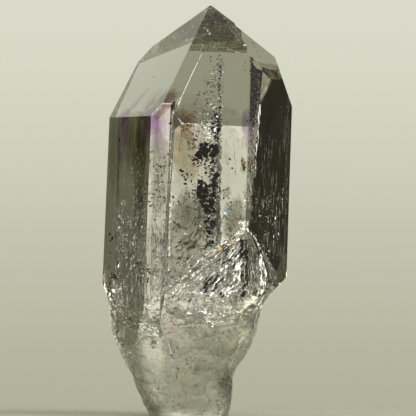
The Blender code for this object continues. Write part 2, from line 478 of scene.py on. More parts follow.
class Chips:
    """Many small closed, irregular chips in one mesh: each is a flat many-sided lens."""

    def __init__(self, seed):
        self.rnd = random.Random(seed)
        self.verts, self.faces = [], []

    def add(self, centre, normal, radius, thick=0.12, aspect=1.0, along=None, sides=None, ragged=0.35):
        r = self.rnd
        n = np.array(normal, float)
        n /= np.linalg.norm(n)
        u = np.array(along, float) if along is not None else np.array([r.uniform(-1, 1) for _ in range(3)])
        u -= n * (u @ n)
        if np.linalg.norm(u) < 1e-6:
            u = np.cross(n, [0.3, 0.5, 0.8])
        u /= np.linalg.norm(u)
        v = np.cross(n, u)
        k = sides or r.randint(4, 7)
        base = len(self.verts)
        turn = r.uniform(0, math.tau)
        for i in range(k):
            a = turn + math.tau * (i + r.uniform(-0.25, 0.25)) / k
            rr = radius * (1 - ragged * r.random())
            self.verts.append(centre + u * (math.cos(a) * rr * aspect) + v * (math.sin(a) * rr)
                              + n * (r.uniform(-0.5, 0.5) * thick * radius))
        top = centre + n * radius * thick + (u * r.uniform(-0.4, 0.4) + v * r.uniform(-0.4, 0.4)) * radius * 0.5
        low = centre - n * radius * thick + (u * r.uniform(-0.4, 0.4) + v * r.uniform(-0.4, 0.4)) * radius * 0.5
        self.verts += [top, low]
        for i in range(k):
            j = (i + 1) % k
            self.faces.append((base + i, base + j, base + k))
            self.faces.append((base + j, base + i, base + k + 1))

    def scatter(self, polygon, count, size, share=(0.15, 0.6), facing=0.0, thick=0.12, aspect=(1.0, 1.6),
                along=None, clump=0.0, clump_scale=6.0, margin=0.2, power=2.0, ragged=0.35, toward=(0, -1, 0), place=None):
        """Chips seen inside a polygon of the photo's frame, at depths within the share."""
        r = self.rnd
        xs, ys = [p[0] for p in polygon], [p[1] for p in polygon]
        made = tries = 0
        while made < count and tries < count * 30:
            tries += 1
            px, py = r.uniform(min(xs), max(xs)), r.uniform(min(ys), max(ys))
            if not inside_polygon(px, py, polygon):
                continue
            if clump and noise.noise(Vector((px / clump_scale, py / clump_scale, 3.7 + clump))) < clump - 0.5 + r.uniform(-0.1, 0.1):
                continue
            if place:
                p = place(px, py) - np.array([0, r.uniform(*share), 0])
            else:
                hit = sight(px, py)
                if hit is None:
                    continue
                p = hit[0] + hit[1] * (hit[2] * r.uniform(*share))
            radius = size[0] + (size[1] - size[0]) * r.random() ** power
            if not within(p, margin + radius * 0.8):
                continue
            n = np.array([r.gauss(0, 1), r.gauss(0, 1), r.gauss(0, 1)])
            n /= np.linalg.norm(n) + 1e-9
            n = n * (1 - facing) + np.array(toward, float) * facing
            stretch = r.uniform(*aspect)
            if stretch > 7:
                axis = np.array(along, float) / np.linalg.norm(along)
                n = n - axis * (axis @ n)
                tip = axis * radius * stretch
                if np.linalg.norm(n) < 0.05 or not (within(p + tip, margin) and within(p - tip, margin)):
                    continue
            self.add(p, n, radius, thick, stretch, along, ragged=ragged)
            made += 1
        return made

    def plate(self, outline, normal, thick=0.06, lift=0.0):
        """One flat plate with the given outline, closed, its middle raised by lift."""
        n = np.array(normal, float)
        n /= np.linalg.norm(n)
        pts = [np.array(p, float) for p in outline]
        mid = sum(pts) / len(pts)
        base, k = len(self.verts), len(pts)
        self.verts += [p + n * thick / 2 for p in pts] + [p - n * thick / 2 for p in pts]
        self.verts += [mid + n * (thick / 2 + lift), mid - n * (thick / 2 - lift)]
        top, low = base + 2 * k, base + 2 * k + 1
        for i in range(k):
            j = (i + 1) % k
            self.faces += [(base + i, base + j, top), (base + k + j, base + k + i, low),
                           (base + j, base + i, base + k + i), (base + k + i, base + k + j, base + j)]

    def build(self, name, material, hollow=False, slot=None):
        faces = [tuple(reversed(f)) for f in self.faces] if hollow else self.faces
        mesh = bpy.data.meshes.new(name)
        mesh.from_pydata([tuple(v * MM) for v in self.verts], [], faces)
        mesh.update()
        return finish_piece(mesh, name, material)


def inside_polygon(x, y, polygon):
    inside = False
    j = len(polygon) - 1
    for i in range(len(polygon)):
        xi, yi = polygon[i]
        xj, yj = polygon[j]
        if (yi > y) != (yj > y) and x < (xj - xi) * (y - yi) / (yj - yi) + xi:
            inside = not inside
        j = i
    return inside


def finish_piece(mesh, name, material):
    obj = link(bpy.data.objects.new(name, mesh))
    mesh.materials.append(material)
    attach(obj, "root")
    return obj


def sheet_arrays(f, nu, nv, thick, dome=False, rim=0.12):
    """A closed lens-edged sheet round the surface f(u, v): points in mm, and faces."""
    us, vs = np.linspace(0, 1, nu + 1), np.linspace(0, 1, nv + 1)
    pts = np.array([[f(u, v) for u in us] for v in vs], float)
    du = np.gradient(pts, axis=1)
    dv = np.gradient(pts, axis=0)
    n = np.cross(du, dv)
    n /= np.linalg.norm(n, axis=2, keepdims=True) + 1e-12
    U, V = np.meshgrid(us, vs)
    if dome:
        w = (4 * U * (1 - U)) ** 1.0 * (4 * V * (1 - V)) ** 1.0
    else:
        edge = np.minimum(np.minimum(U, 1 - U), np.minimum(V, 1 - V)) / rim
        w = np.clip(edge, 0, 1)
        w = w * w * (3 - 2 * w)
    half = (thick * w / 2)[..., None] * n
    top, low = pts + half, pts - half
    index_top = np.arange((nu + 1) * (nv + 1)).reshape(nv + 1, nu + 1)
    index_low = index_top.copy()
    inner = np.zeros_like(index_top, bool)
    inner[1:-1, 1:-1] = True
    index_low[inner] = np.arange(inner.sum()) + (nu + 1) * (nv + 1)
    verts = np.concatenate([top.reshape(-1, 3), low[inner]])
    a, b, c, d = index_top[:-1, :-1], index_top[:-1, 1:], index_top[1:, 1:], index_top[1:, :-1]
    up = np.stack([a, b, c, d], -1).reshape(-1, 4)
    a, b, c, d = index_low[:-1, :-1], index_low[:-1, 1:], index_low[1:, 1:], index_low[1:, :-1]
    down = np.stack([d, c, b, a], -1).reshape(-1, 4)
    return verts, np.concatenate([up, down])


def build_sheets(name, sheets, material, hollow=False, smooth=True):
    verts, faces, start = [], [], 0
    for v, f in sheets:
        verts.append(v)
        faces.append(f + start)
        start += len(v)
    verts, faces = np.concatenate(verts), np.concatenate(faces)
    if hollow:
        faces = faces[:, ::-1]
    mesh = bpy.data.meshes.new(name)
    mesh.from_pydata([tuple(v) for v in verts * MM], [], [tuple(int(i) for i in f) for f in faces])
    mesh.update()
    if smooth:
        mesh.shade_smooth()
    return finish_piece(mesh, name, material)


def corner_sheet(corners, bulge=(0, 0, 0), ripple=0.0, ripple_scale=1.0, ray=None, ragged=0.0, seed=0.0, facet=None, top_ragged=0.0, hackle=None):
    """A surface through four 3-D corners (left top, right top, right bottom, left bottom),
    bulged in the middle and rippled along its normal. ray=(count, depth) adds hackle lines
    that fan from its top edge, hackle=(across, down, depth) flat-faced slivers that do."""
    lt, rt, rb, lb = [np.array(c, float) for c in corners]
    n = np.cross(rt - lt + rb - lb, lb - lt + rb - rt)
    n /= np.linalg.norm(n)
    bulge = np.array(bulge, float)

    def f(u, v):
        if ragged:
            w = noise.noise(Vector((v * 7 + seed, 0.3, seed)))
            w2 = noise.noise(Vector((v * 23 + seed, 1.3, seed)))
            shift = ragged * (0.7 * w + 0.4 * w2)
            u = u + shift * (1 - u) * (1 if u < 0.5 else 0.5)
            e = ragged * (0.7 * noise.noise(Vector((u * 6, 4.1, seed))) + 0.4 * noise.noise(Vector((u * 19, 2.2, seed))))
            v = v + e * v + top_ragged * (noise.noise(Vector((u * 5, 7.7, seed))) + 0.6 * noise.noise(Vector((u * 17, 8.2, seed)))) * (1 - v)
        top = lt + (rt - lt) * u
        bottom = lb + (rb - lb) * u
        p = top + (bottom - top) * v
        p = p + bulge * (4 * u * (1 - u)) * (4 * v * (1 - v))
        if ripple:
            q = Vector(p) / ripple_scale + Vector((seed, seed * 1.7, 0))
            h = noise.noise(q) + 0.5 * noise.noise(q * 2.3) + 0.28 * noise.noise(q * 5.1)
            p = p + n * (ripple * h)
        if facet:
            q = Vector(p) / facet[0] + Vector((seed, 2.0, seed * 0.6))
            spots = noise.voronoi(q, distance_metric='DISTANCE')[1]
            lean = Vector(noise.cell_vector(spots[0] * 5.7 + Vector((0.3, 0.3, 0.3)))) * 2 - Vector((1, 1, 1))
            p = p + n * (facet[1] * (q - spots[0]).dot(lean))
        if hackle:
            q = Vector((u * hackle[0], v * hackle[1], seed))
            spots = noise.voronoi(q, distance_metric='DISTANCE')[1]
            lean = Vector(noise.cell_vector(spots[0] * 5.7 + Vector((0.3, 0.3, 0.3)))) * 2 - Vector((1, 1, 1))
            p = p + n * (hackle[2] * (0.25 + v) * (q - spots[0]).dot(lean))
        if ray:
            h = noise.noise(Vector((u * ray[0], v * 1.2, seed + 5)))
            h += 0.5 * noise.noise(Vector((u * ray[0] * 2.7, v * 2.0, seed + 9)))
            p = p + n * (ray[1] * h * (0.3 + v))
        return p
    return f


# ------------------------------------------------------------------ materials of what is sealed in

def tint_material(name, colour, density):
    """A zone of coloured quartz inside the clear quartz: no edge of its own, only colour."""
    mat, nt, bsdf, out = new_material(name)
    N, L = nt.nodes.new, nt.links.new
    bsdf.inputs["Transmission Weight"].default_value = 1.0
    bsdf.inputs["IOR"].default_value = 1.0
    bsdf.inputs["Roughness"].default_value = 0.0
    # faint cloudy growth bands in the zone's own colour
    coord = N("ShaderNodeTexCoord")
    bands = N("ShaderNodeTexNoise")
    bands.inputs["Scale"].default_value = 900.0
    bands.inputs["Detail"].default_value = 4.0
    L(coord.outputs["Object"], bands.inputs["Vector"])
    ramp = N("ShaderNodeMapRange")
    ramp.inputs["From Min"].default_value = 0.3
    ramp.inputs["From Max"].default_value = 0.7
    ramp.inputs["To Min"].default_value = 0.88
    ramp.inputs["To Max"].default_value = 1.0
    L(bands.outputs["Fac"], ramp.inputs["Value"])
    L(ramp.outputs["Result"], bsdf.inputs["Base Color"])
    absorb = N("ShaderNodeVolumeAbsorption")
    absorb.inputs["Color"].default_value = (*colour, 1)
    absorb.inputs["Density"].default_value = density
    L(absorb.outputs[0], out.inputs["Volume"])
    return mat


def gap_material(name, rough=0.02, grain=700.0, depth=0.00006):
    """The walls of a thin air gap in the quartz: clear head-on, mirror-bright at a slant."""
    mat, nt, bsdf, out = new_material(name)
    N, L = nt.nodes.new, nt.links.new
    bsdf.inputs["Transmission Weight"].default_value = 1.0
    bsdf.inputs["IOR"].default_value = IOR
    bsdf.inputs["Roughness"].default_value = rough
    coord = N("ShaderNodeTexCoord")
    wave = N("ShaderNodeTexNoise")
    wave.inputs["Scale"].default_value = grain
    wave.inputs["Detail"].default_value = 3.0
    L(coord.outputs["Object"], wave.inputs["Vector"])
    bump = N("ShaderNodeBump")
    bump.inputs["Strength"].default_value = 0.6
    bump.inputs["Distance"].default_value = depth
    L(wave.outputs["Fac"], bump.inputs["Height"])
    L(bump.outputs["Normal"], bsdf.inputs["Normal"])
    return mat


def grain_material(name, low, high, scale=2500.0, rough=(0.25, 0.6), metallic=0.0, specular=0.5):
    """Opaque chips and plates in two tones of fine grains: the real inclusions, and also the plates of painted light
    and painted shade.
    """
    mat, nt, bsdf, out = new_material(name)
    N, L = nt.nodes.new, nt.links.new
    coord = N("ShaderNodeTexCoord")
    grains = N("ShaderNodeTexNoise")
    grains.inputs["Scale"].default_value = scale
    grains.inputs["Detail"].default_value = 3.0
    L(coord.outputs["Object"], grains.inputs["Vector"])
    ramp = N("ShaderNodeValToRGB")
    ramp.color_ramp.elements[0].position = 0.38
    ramp.color_ramp.elements[0].color = (*low, 1)
    ramp.color_ramp.elements[1].position = 0.64
    ramp.color_ramp.elements[1].color = (*high, 1)
    L(grains.outputs["Fac"], ramp.inputs[0])
    L(ramp.outputs["Color"], bsdf.inputs["Base Color"])
    r = N("ShaderNodeMapRange")
    r.inputs["To Min"].default_value, r.inputs["To Max"].default_value = rough
    L(grains.outputs["Fac"], r.inputs["Value"])
    L(r.outputs["Result"], bsdf.inputs["Roughness"])
    bsdf.inputs["Metallic"].default_value = metallic
    bsdf.inputs["Specular IOR Level"].default_value = specular
    return mat


# ------------------------------------------------------------------ the sealed features

def tint_patch(px, py, share, size, tilt=(0, -1, 0), up=(0, 0, 1), thick=1.2, seed=1.0, bend=0.3, n=26):
    """One soft-edged zone of colour, seen at a pixel of the photo: a lens that thins out."""
    c = at(px, py, share)
    n_ = np.array(tilt, float)
    n_ /= np.linalg.norm(n_)
    v_ = np.array(up, float)
    v_ -= n_ * (v_ @ n_)
    v_ /= np.linalg.norm(v_)
    u_ = np.cross(v_, n_)
    hw, hh = size
    hit = sight(px, py)
    for _ in range(30):
        if within(c, thick / 2 + 0.08) or hit is None:
            break
        c = c + hit[1] * 0.1

    def f(u, v):
        a, b = (u - 0.5) * 2, (0.5 - v) * 2
        # round off the square, and let the outline wander
        k = 1 / math.sqrt(max(1.0, a * a + b * b)) if a or b else 1.0
        wander = 1 + 0.35 * noise.noise(Vector((a * 1.4 + seed, b * 1.4, seed)))
        a, b = a * k * wander, b * k * wander
        lift = bend * noise.noise(Vector((a * 1.1, b * 1.1, seed * 2)))
        return keep_inside(c + u_ * a * hw + v_ * b * hh + n_ * lift, c,
                           0.06 + thick / 2 * (4 * u * (1 - u)) * (4 * v * (1 - v)))
    return sheet_arrays(f, n, n, thick, dome=True)


def make_phantom():
    left_face, front_face = (-0.69, -0.39, 0.61), (0.0, -0.79, 0.61)
    purple = [
        # under the left shoulder, parallel to the faces that meet there
        tint_patch(155, 118, 0.08, (1.3, 2.6), (-0.4, -0.9, 0.2), (0.1, 0, 1), 1.5, 1.3),
        tint_patch(162, 108, 0.10, (1.4, 1.5), front_face, (0.3, 0, 1), 0.9, 3.7),
        tint_patch(169, 98, 0.10, (1.1, 1.1), front_face, (0.3, 0, 1), 1.3, 3.9),
        tint_patch(124, 128, 0.10, (1.4, 3.6), (-0.8, -0.5, 0), (0.16, 0, 1), 1.5, 2.1),
        tint_patch(121, 142, 0.12, (1.1, 4.2), (-0.8, -0.5, 0), (0.0, 0, 1), 1.3, 2.6),
        tint_patch(133, 107, 0.18, (0.7, 3.4), left_face, (0.55, 0, 1), 0.9, 4.9),
        tint_patch(158, 134, 0.25, (1.5, 3.6), (-0.2, -1, 0), (0, 0, 1), 0.7, 6.4),
        # under the right shoulder
        tint_patch(246, 119, 0.10, (0.9, 1.8), (0.5, -0.8, 0.2), (0.3, 0, 1), 1.2, 7.2),
        tint_patch(247, 134, 0.10, (0.7, 2.2), (0.4, -0.9, 0), (0, 0, 1), 0.9, 8.8),
        tint_patch(268, 132, 0.25, (1.0, 2.2), (0.8, -0.5, 0), (0, 0, 1), 1.1, 8.1),
        # along the edge from the tip
        tint_patch(218.5, 21, 0.30, (0.35, 0.95), (0.3, -0.8, 0.5), (-0.9, 0, 0.8), 0.55, 9.9),
    ]
    faint = [
        tint_patch(173, 330, 0.30, (1.2, 7.5), (0, -1, 0.1), (0, 0, 1), 2.6, 11.0),
        tint_patch(160, 122, 0.30, (2.2, 4.5), (-0.5, -0.9, 0), (0, 0, 1), 2.0, 12.0),
        tint_patch(188, 132, 0.5, (3.0, 4.0), front_face, (0, 0, 1), 1.2, 13.0),
        tint_patch(164, 290, 0.35, (1.4, 6.0), (0, -1, 0.1), (0, 0, 1), 2.0, 14.0),
    ]
    build_sheets("phantom_purple_zones", purple, tint_material("amethyst_zone", (0.46, 0.10, 0.66), 520.0))
    smoke = [
        tint_patch(208, 178, 0.55, (6.6, 9.5), (0, -1, 0), (0, 0, 1), 0.75, 51.0),
        tint_patch(183, 158, 0.40, (1.9, 5.2), (0, -1, 0), (0, 0, 1), 0.6, 52.0),
        tint_patch(160, 172, 0.45, (1.7, 6.4), (0, -1, 0), (0, 0, 1), 1.9, 53.0, 0.1),
        tint_patch(158, 215, 0.40, (1.6, 5.0), (0, -1, 0), (0, 0, 1), 0.9, 54.0, 0.1),
        tint_patch(234, 222, 0.30, (1.9, 3.6), (0, -1, 0), (0, 0, 1), 2.5, 55.0),
        tint_patch(196, 212, 0.42, (3.6, 3.6), (0, -1, 0), (0, 0, 1), 1.1, 56.0),
        tint_patch(188, 392, 0.50, (4.6, 3.6), (0, -1, 0), (0, 0, 1), 3.0, 57.0, 0.1),
        tint_patch(200, 366, 0.50, (6.0, 5.4), (0, -1, 0), (0, 0, 1), 2.0, 59.0, 0.1),
        tint_patch(208, 330, 0.40, (5.4, 2.8), (0, -1, 0), (0, 0, 1), 0.8, 60.0, 0.1),
        tint_patch(113, 150, 0.10, (1.3, 6.5), (-0.86, -0.51, 0), (0, 0, 1), 0.8, 58.0, 0.1),
        tint_patch(190, 238, 0.30, (3.2, 6.6), (0, -1, 0), (0, 0, 1), 1.6, 15.0),
        tint_patch(176, 262, 0.34, (2.6, 5.6), (0, -1, 0), (0, 0, 1), 1.4, 16.0),
        tint_patch(210, 225, 0.34, (1.0, 5.2), (0, -1, 0), (0, 0, 1), 1.4, 17.0),
        tint_patch(249, 270, 0.20, (1.4, 5.0), (0, -1, 0), (0, 0, 1), 1.8, 18.0),
        tint_patch(130, 262, 0.30, (2.6, 6.6), (-0.8, -0.5, 0), (0, 0, 1), 0.6, 19.0),
    ]
    build_sheets("smoke_zones", smoke, tint_material("smoke_zone", (0.44, 0.44, 0.34), 620.0))
    build_sheets("phantom_lilac_haze", faint, tint_material("amethyst_haze", (0.66, 0.36, 0.70), 120.0))
    brown = [
        tint_patch(187, 119, 0.10, (1.3, 1.0), front_face, (0, 0, 1), 1.9, 21.0),
        tint_patch(183, 114, 0.06, (0.9, 0.8), front_face, (0, 0, 1), 1.4, 21.6),
        tint_patch(186, 131, 0.08, (0.9, 1.8), (0.1, -1, 0), (-0.45, 0, 1), 1.6, 22.0),
        tint_patch(191, 143, 0.08, (0.7, 1.6), (0.1, -1, 0), (-0.35, 0, 1), 1.3, 22.7),
        tint_patch(150, 105, 0.20, (0.9, 1.3), left_face, (0.2, 0, 1), 0.9, 23.0),
        tint_patch(180, 150, 0.30, (1.6, 4.0), (0, -1, 0), (0, 0, 1), 1.1, 24.9),
        tint_patch(190, 165, 0.30, (1.3, 3.0), (0, -1, 0), (0, 0, 1), 0.9, 25.4),
        tint_patch(168, 100, 0.08, (1.3, 1.2), front_face, (0, 0, 1), 1.6, 26.0),
        tint_patch(172, 96, 0.06, (1.0, 1.4), front_face, (0.3, 0, 1), 1.2, 26.6),
        tint_patch(231, 42, 0.3, (1.3, 0.5), front_face, (0.2, 0, 1), 0.8, 27.0),
        tint_patch(256, 92, 0.3, (0.5, 4.0), (0.8, -0.5, 0.2), (0, 0, 1), 0.9, 28.0),
        tint_patch(288, 150, 0.3, (0.5, 9.0), (0.8, -0.5, 0), (0, 0, 1), 1.1, 29.0, 0.1),
        tint_patch(242.5, 166, 0.10, (0.36, 1.2), (0, -1, 0), (0, 0, 1), 1.0, 25.0),
        tint_patch(227, 193, 0.14, (0.5, 0.8), (0, -1, 0), (0.3, 0, 1), 0.8, 25.8),
        tint_patch(206, 156, 0.05, (1.3, 0.7), (0, -1, 0), (0, 0, 1), 0.6, 30.2),
    ]
    # dense brown under the left face
    left = (-0.86, -0.51, 0.0)
    dense = [
        tint_patch(141, 134, 0.05, (1.9, 4.4), left, (0, 0, 1), 1.0, 41.0, 0.12),
        tint_patch(144, 147, 0.05, (0.9, 5.0), left, (0, 0, 1), 0.8, 42.0, 0.12),
        tint_patch(131, 140, 0.06, (1.8, 5.0), left, (0.08, 0, 1), 0.6, 43.0, 0.2),
        tint_patch(118.5, 166, 0.05, (0.5, 7.0), left, (0, 0, 1), 0.5, 44.0, 0.1),
    ]
    build_sheets("iron_stain_dense", dense, tint_material("iron_stain_dense", (0.48, 0.42, 0.24), 1700.0))
    build_sheets("iron_stain_zones", brown, tint_material("iron_stain", (0.66, 0.46, 0.10), 640.0))


def make_fractures():
    gap = gap_material("fracture_gap", 0.015)
    sheets = []
    # the upright crack down the middle, seen edge-on
    a, b = at(219.5, 58, 0.3), at(218.5, 246, 0.2)
    lt = np.array([a[0] - 0.1, a[1] - 3.2, a[2]])
    rt = np.array([a[0] + 0.15, a[1] + 3.0, a[2] - 1.0])
    rb = np.array([b[0] - 0.5, b[1] + 6.5, b[2]])
    lb = np.array([b[0] + 0.25, b[1] - 2.0, b[2]])
    f = corner_sheet((lt, rt, rb, lb), ripple=0.30, ripple_scale=1.5, ragged=0.12, seed=3.1, facet=(1.1, 0.35))
    sheets.append(sheet_arrays(f, 50, 190, 0.06))
    # the fan: a shell-shaped break that climbs from the front of the root to one point
    apex = np.array([7.9, -10.3, 28.5])
    low_left, low_mid = np.array([-2.7, -7.0, 17.9]), np.array([6.9, -8.9, 16.9])
    middle = np.array([4.0, -4.0, 21.0])

    def on_side(px, py, mm):
        return keep_inside(at(px, py, 0, mm=mm), middle, 0.45)

    f = corner_sheet((apex + [-0.2, 0, 0], apex + [0.05, 0, 0], low_mid, low_left), (0, 0.3, 0.2),
                     ripple=0.10, ripple_scale=2.2, ray=(10, 0.26), ragged=0.02, seed=7.7, hackle=(17, 4.5, 0.26))
    sheets.append(sheet_arrays(f, 110, 120, 0.05))
    f = corner_sheet((on_side(245.8, 226, 0.7), on_side(246.8, 226, 0.7), on_side(269.5, 279, 1.4), on_side(246, 300, 1.6)),
                     ripple=0.08, ripple_scale=2.0, ray=(5, 0.16), ragged=0.02, seed=9.3, hackle=(7, 3.2, 0.24))
    sheets.append(sheet_arrays(f, 70, 110, 0.05))
    f = corner_sheet((on_side(260, 248, 0.6), on_side(261.5, 249, 0.6), on_side(280, 277.5, 0.8), on_side(270, 280, 1.2)),
                     ripple=0.08, ripple_scale=1.6, ray=(4, 0.10), ragged=0.02, seed=12.9, hackle=(4, 3.0, 0.16))
    sheets.append(sheet_arrays(f, 50, 80, 0.05))
    build_sheets("fan_fracture", sheets[1:], gap, hollow=True, smooth=False)
    # veils that cloud the lower middle and the left
    veils = []
    for c, bulge, seed, nu, nv, fac, rip in (
        (((-3.4, -3.0, 32.6), (4.1, -5.5, 33.8), (4.0, -8.6, 23.0), (-4.2, -6.5, 18.2)), (0, 1.2, 0), 21.3, 90, 120, (2.2, 0.26), 0.30),
        (((-5.7, -6.6, 29.0), (-3.4, -7.0, 28.0), (-3.2, -7.4, 18.5), (-5.9, -6.0, 17.5)), (0.2, 0.5, 0), 24.2, 30, 100, (1.1, 0.35), 0.25),
        (((-10.6, -0.6, 31.0), (-6.8, -5.0, 33.0), (-6.3, -6.6, 16.8), (-10.8, -1.0, 15.8)), (-0.3, 0.5, 0), 25.8, 60, 130, (1.6, 0.26), 0.20),
    ):
        f = corner_sheet(c, bulge, ripple=rip, ripple_scale=1.7, ragged=0.05, seed=seed, facet=fac, top_ragged=0.22)
        veils.append(sheet_arrays(f, nu, nv, 0.05, rim=0.2))
    build_sheets("fracture_sheets", sheets[:1], gap, hollow=True)
    build_sheets("fracture_veils", veils, gap_material("veil_gap", 0.09, 420.0, 0.00010), hollow=True)

    # silvery crackle: thousands of small, thin gaps
    silver = Chips(11)
    thin = 0.035
    crack = [(216, 58), (223, 60), (224, 100), (221, 130), (218, 160), (217, 200), (214, 245), (206, 245), (208, 200), (211, 160), (208, 128), (206, 96), (212, 74)]
    silver.scatter(crack, 420, (0.10, 0.42), (0.15, 0.6), thick=thin)
    silver.scatter([(206, 78), (220, 76), (220, 128), (193, 128), (192, 112), (199, 90)], 360, (0.08, 0.34), (0.15, 0.6), thick=thin, clump=0.5, clump_scale=5)
    silver.scatter([(196, 128), (222, 128), (220, 180), (200, 180), (186, 150)], 300, (0.08, 0.40), (0.15, 0.6), thick=thin, clump=0.5, clump_scale=5)
    silver.scatter([(150, 150), (170, 158), (172, 230), (150, 240), (146, 190)], 260, (0.05, 0.30), (0.12, 0.6), thick=thin, clump=0.5, clump_scale=7)
    silver.scatter([(172, 196), (214, 190), (214, 246), (190, 280), (160, 300), (150, 250), (164, 215)], 520, (0.08, 0.5), (0.08, 0.7), thick=thin, clump=0.42, clump_scale=9)
    silver.scatter([(243, 228), (262, 262), (283, 286), (262, 306), (180, 300), (206, 262)], 300, (0.10, 0.60), (0.15, 0.6), thick=thin, clump=0.42, clump_scale=6)
    silver.scatter([(120, 235), (150, 200), (150, 310), (124, 310)], 150, (0.05, 0.34), (0.08, 0.6), thick=thin, clump=0.5, clump_scale=9)
    silver.scatter([(150, 240), (168, 230), (166, 306), (150, 306)], 200, (0.05, 0.30), (0.08, 0.5), thick=thin)
    silver.scatter([(224, 204), (240, 200), (245, 222), (238, 226), (228, 238), (222, 226)], 290, (0.05, 0.26), (0.1, 0.4), thick=thin, clump=0.35, clump_scale=6)
    silver.scatter([(239, 238), (238, 262), (234, 294), (190, 290), (202, 266), (222, 250)], 240, (0.08, 0.32), (0.1, 0.5), thick=thin, facing=0.5, toward=(0, -0.7, 0.7), aspect=(1.6, 4.5), along=(-0.62, 0.15, -0.78), place=on_fan)
    silver.scatter([(252, 185), (284, 190), (282, 258), (268, 256)], 160, (0.04, 0.20), (0.05, 0.5), thick=thin, aspect=(1.5, 5), along=(0.04, 0, 1), clump=0.45, clump_scale=8)
    silver.build("silver_crackle", gap, hollow=True)

    # mirror-bright plates that catch the light
    glint = Chips(17)
    up_front = (0, -1, 0.13)
    # facings that show the front panel through the side faces and through the tip faces
    through_right, through_left, through_tip = (0.44, -0.90, 0.11), (-0.44, -0.90, 0.11), (0, -0.94, 0.34)
    bright = dict(thick=0.05, ragged=0.5, toward=up_front)
    lift = (0.15, 0.7)
    brushed = dict(bright, aspect=(1.6, 4.5), along=(-0.62, 0.15, -0.78), place=on_fan)
    # along the two limbs of the fan
    for line, count, wide in (((243, 226), (234, 236), (219, 246), (206, 254), (196, 264), (184, 277), (176, 288), (170, 297)), 150, 0.5), \
                             (((240, 233), (228, 246), (214, 257), (200, 269), (188, 281), (179, 291)), 80, 0.6), \
                             (((245, 226), (249, 232), (256, 240), (259, 250)), 60, 0.3), \
                             (((240, 262), (239, 280), (238, 300)), 50, 0.5), \
                             (((175, 294), (188, 292), (204, 293), (222, 297), (238, 303)), 70, 0.9):
        for _ in range(count):
            t = glint.rnd.random() * (len(line) - 1)
            i = min(int(t), len(line) - 2)
            (x0, y0), (x1, y1) = line[i], line[i + 1]
            px, py = x0 + (x1 - x0) * (t - i), y0 + (y1 - y0) * (t - i)
            px, py = px + glint.rnd.gauss(0, wide), py + glint.rnd.gauss(0, wide)
            p = on_fan(px, py) - np.array([0, glint.rnd.uniform(0.3, 0.9), 0])
            n = np.array([glint.rnd.gauss(0, 0.12), -1, 0.13 + glint.rnd.gauss(0, 0.10)])
            if px > 245.5:
                p = at(px, py, 0, mm=glint.rnd.uniform(0.3, 0.5))
                n = n * [1, 0.9, 1] + [0.44, 0, 0]
            if not within(p, 0.2):
                continue
            glint.add(p, n, glint.rnd.uniform(0.04, 0.12), 0.05, glint.rnd.uniform(1.5, 4), (x1 - x0, 0.3, y0 - y1))
    glint.scatter([(242, 229), (238, 240), (238, 262), (226, 268), (230, 250)], 80, (0.06, 0.26), lift, facing=0.84, **brushed)
    glint.scatter([(236, 262), (239, 262), (239, 300), (231, 298), (229, 284)], 24, (0.18, 0.52), lift, facing=0.93, place=on_fan, aspect=(1.2, 2.4), along=(-0.2, 0.1, -1), **bright)
    glint.scatter([(223, 286), (229, 284), (231, 297), (222, 300)], 18, (0.20, 0.55), lift, facing=0.94, place=on_fan, **bright)
    glint.scatter([(240, 222), (246, 222), (246, 232), (240, 234)], 50, (0.12, 0.35), lift, facing=0.93, place=on_fan, **bright)
    glint.scatter([(188, 282), (212, 268), (226, 262), (224, 292), (186, 291)], 80, (0.05, 0.20), lift, facing=0.84, **brushed)
    glint.scatter([(206, 262), (226, 248), (228, 262), (206, 276)], 60, (0.05, 0.18), lift, facing=0.80, **brushed)
    glint.scatter([(259, 258), (265, 260), (266, 276), (264, 292), (260, 292)], 50, (0.16, 0.50), (0.03, 0.12), facing=0.94, thick=0.05, ragged=0.4, aspect=(1.2, 2.6), along=(0, 0, 1), toward=through_right)
    glint.scatter([(264, 262), (284, 278), (266, 300), (258, 300)], 46, (0.05, 0.20), (0.03, 0.2), facing=0.8, thick=0.05, ragged=0.5, toward=through_right)
    glint.scatter([(258, 240), (261, 240), (270, 264), (266, 266)], 30, (0.05, 0.16), (0.03, 0.12), facing=0.85, thick=0.05, ragged=0.5, toward=through_right)
    glint.scatter(crack, 110, (0.06, 0.22), (0.1, 0.3), facing=0.85, **bright)
    glint.scatter([(204, 128), (218, 128), (214, 140), (204, 142)], 60, (0.06, 0.25), (0.1, 0.25), facing=0.85, **bright)
    glint.scatter([(172, 205), (214, 205), (214, 262), (186, 284), (160, 296)], 90, (0.04, 0.16), (0.08, 0.5), facing=0.8, **bright)
    glint.scatter([(118, 200), (150, 180), (150, 306), (122, 306)], 26, (0.03, 0.11), (0.05, 0.5), facing=0.85, thick=0.05, ragged=0.5, toward=through_left)
    glint.scatter([(150, 180), (168, 190), (166, 300), (150, 300)], 90, (0.04, 0.16), (0.05, 0.5), facing=0.8, **bright)
    glint.scatter([(252, 190), (280, 200), (278, 262), (266, 256)], 90, (0.025, 0.08), (0.04, 0.4), facing=0.84, aspect=(2, 8), along=(0.04, 0, 1), thick=0.05, ragged=0.5, toward=through_right)
    # bright flaw down the right front edge
    for i in range(64):
        t = glint.rnd.random()
        px, py = 259.2 + (254.6 - 259.2) * t, 108 + (176 - 108) * t
        glint.add(at(px + glint.rnd.uniform(-0.8, 0.8), py, 0, mm=glint.rnd.uniform(0.3, 0.8)),
                  (0.44 + glint.rnd.gauss(0, 0.05), -0.90, 0.11 + glint.rnd.gauss(0, 0.05)),
                  glint.rnd.uniform(0.03, 0.09) * (1.5 - t), 0.05, glint.rnd.uniform(5, 12), (-0.07, 0, 1))
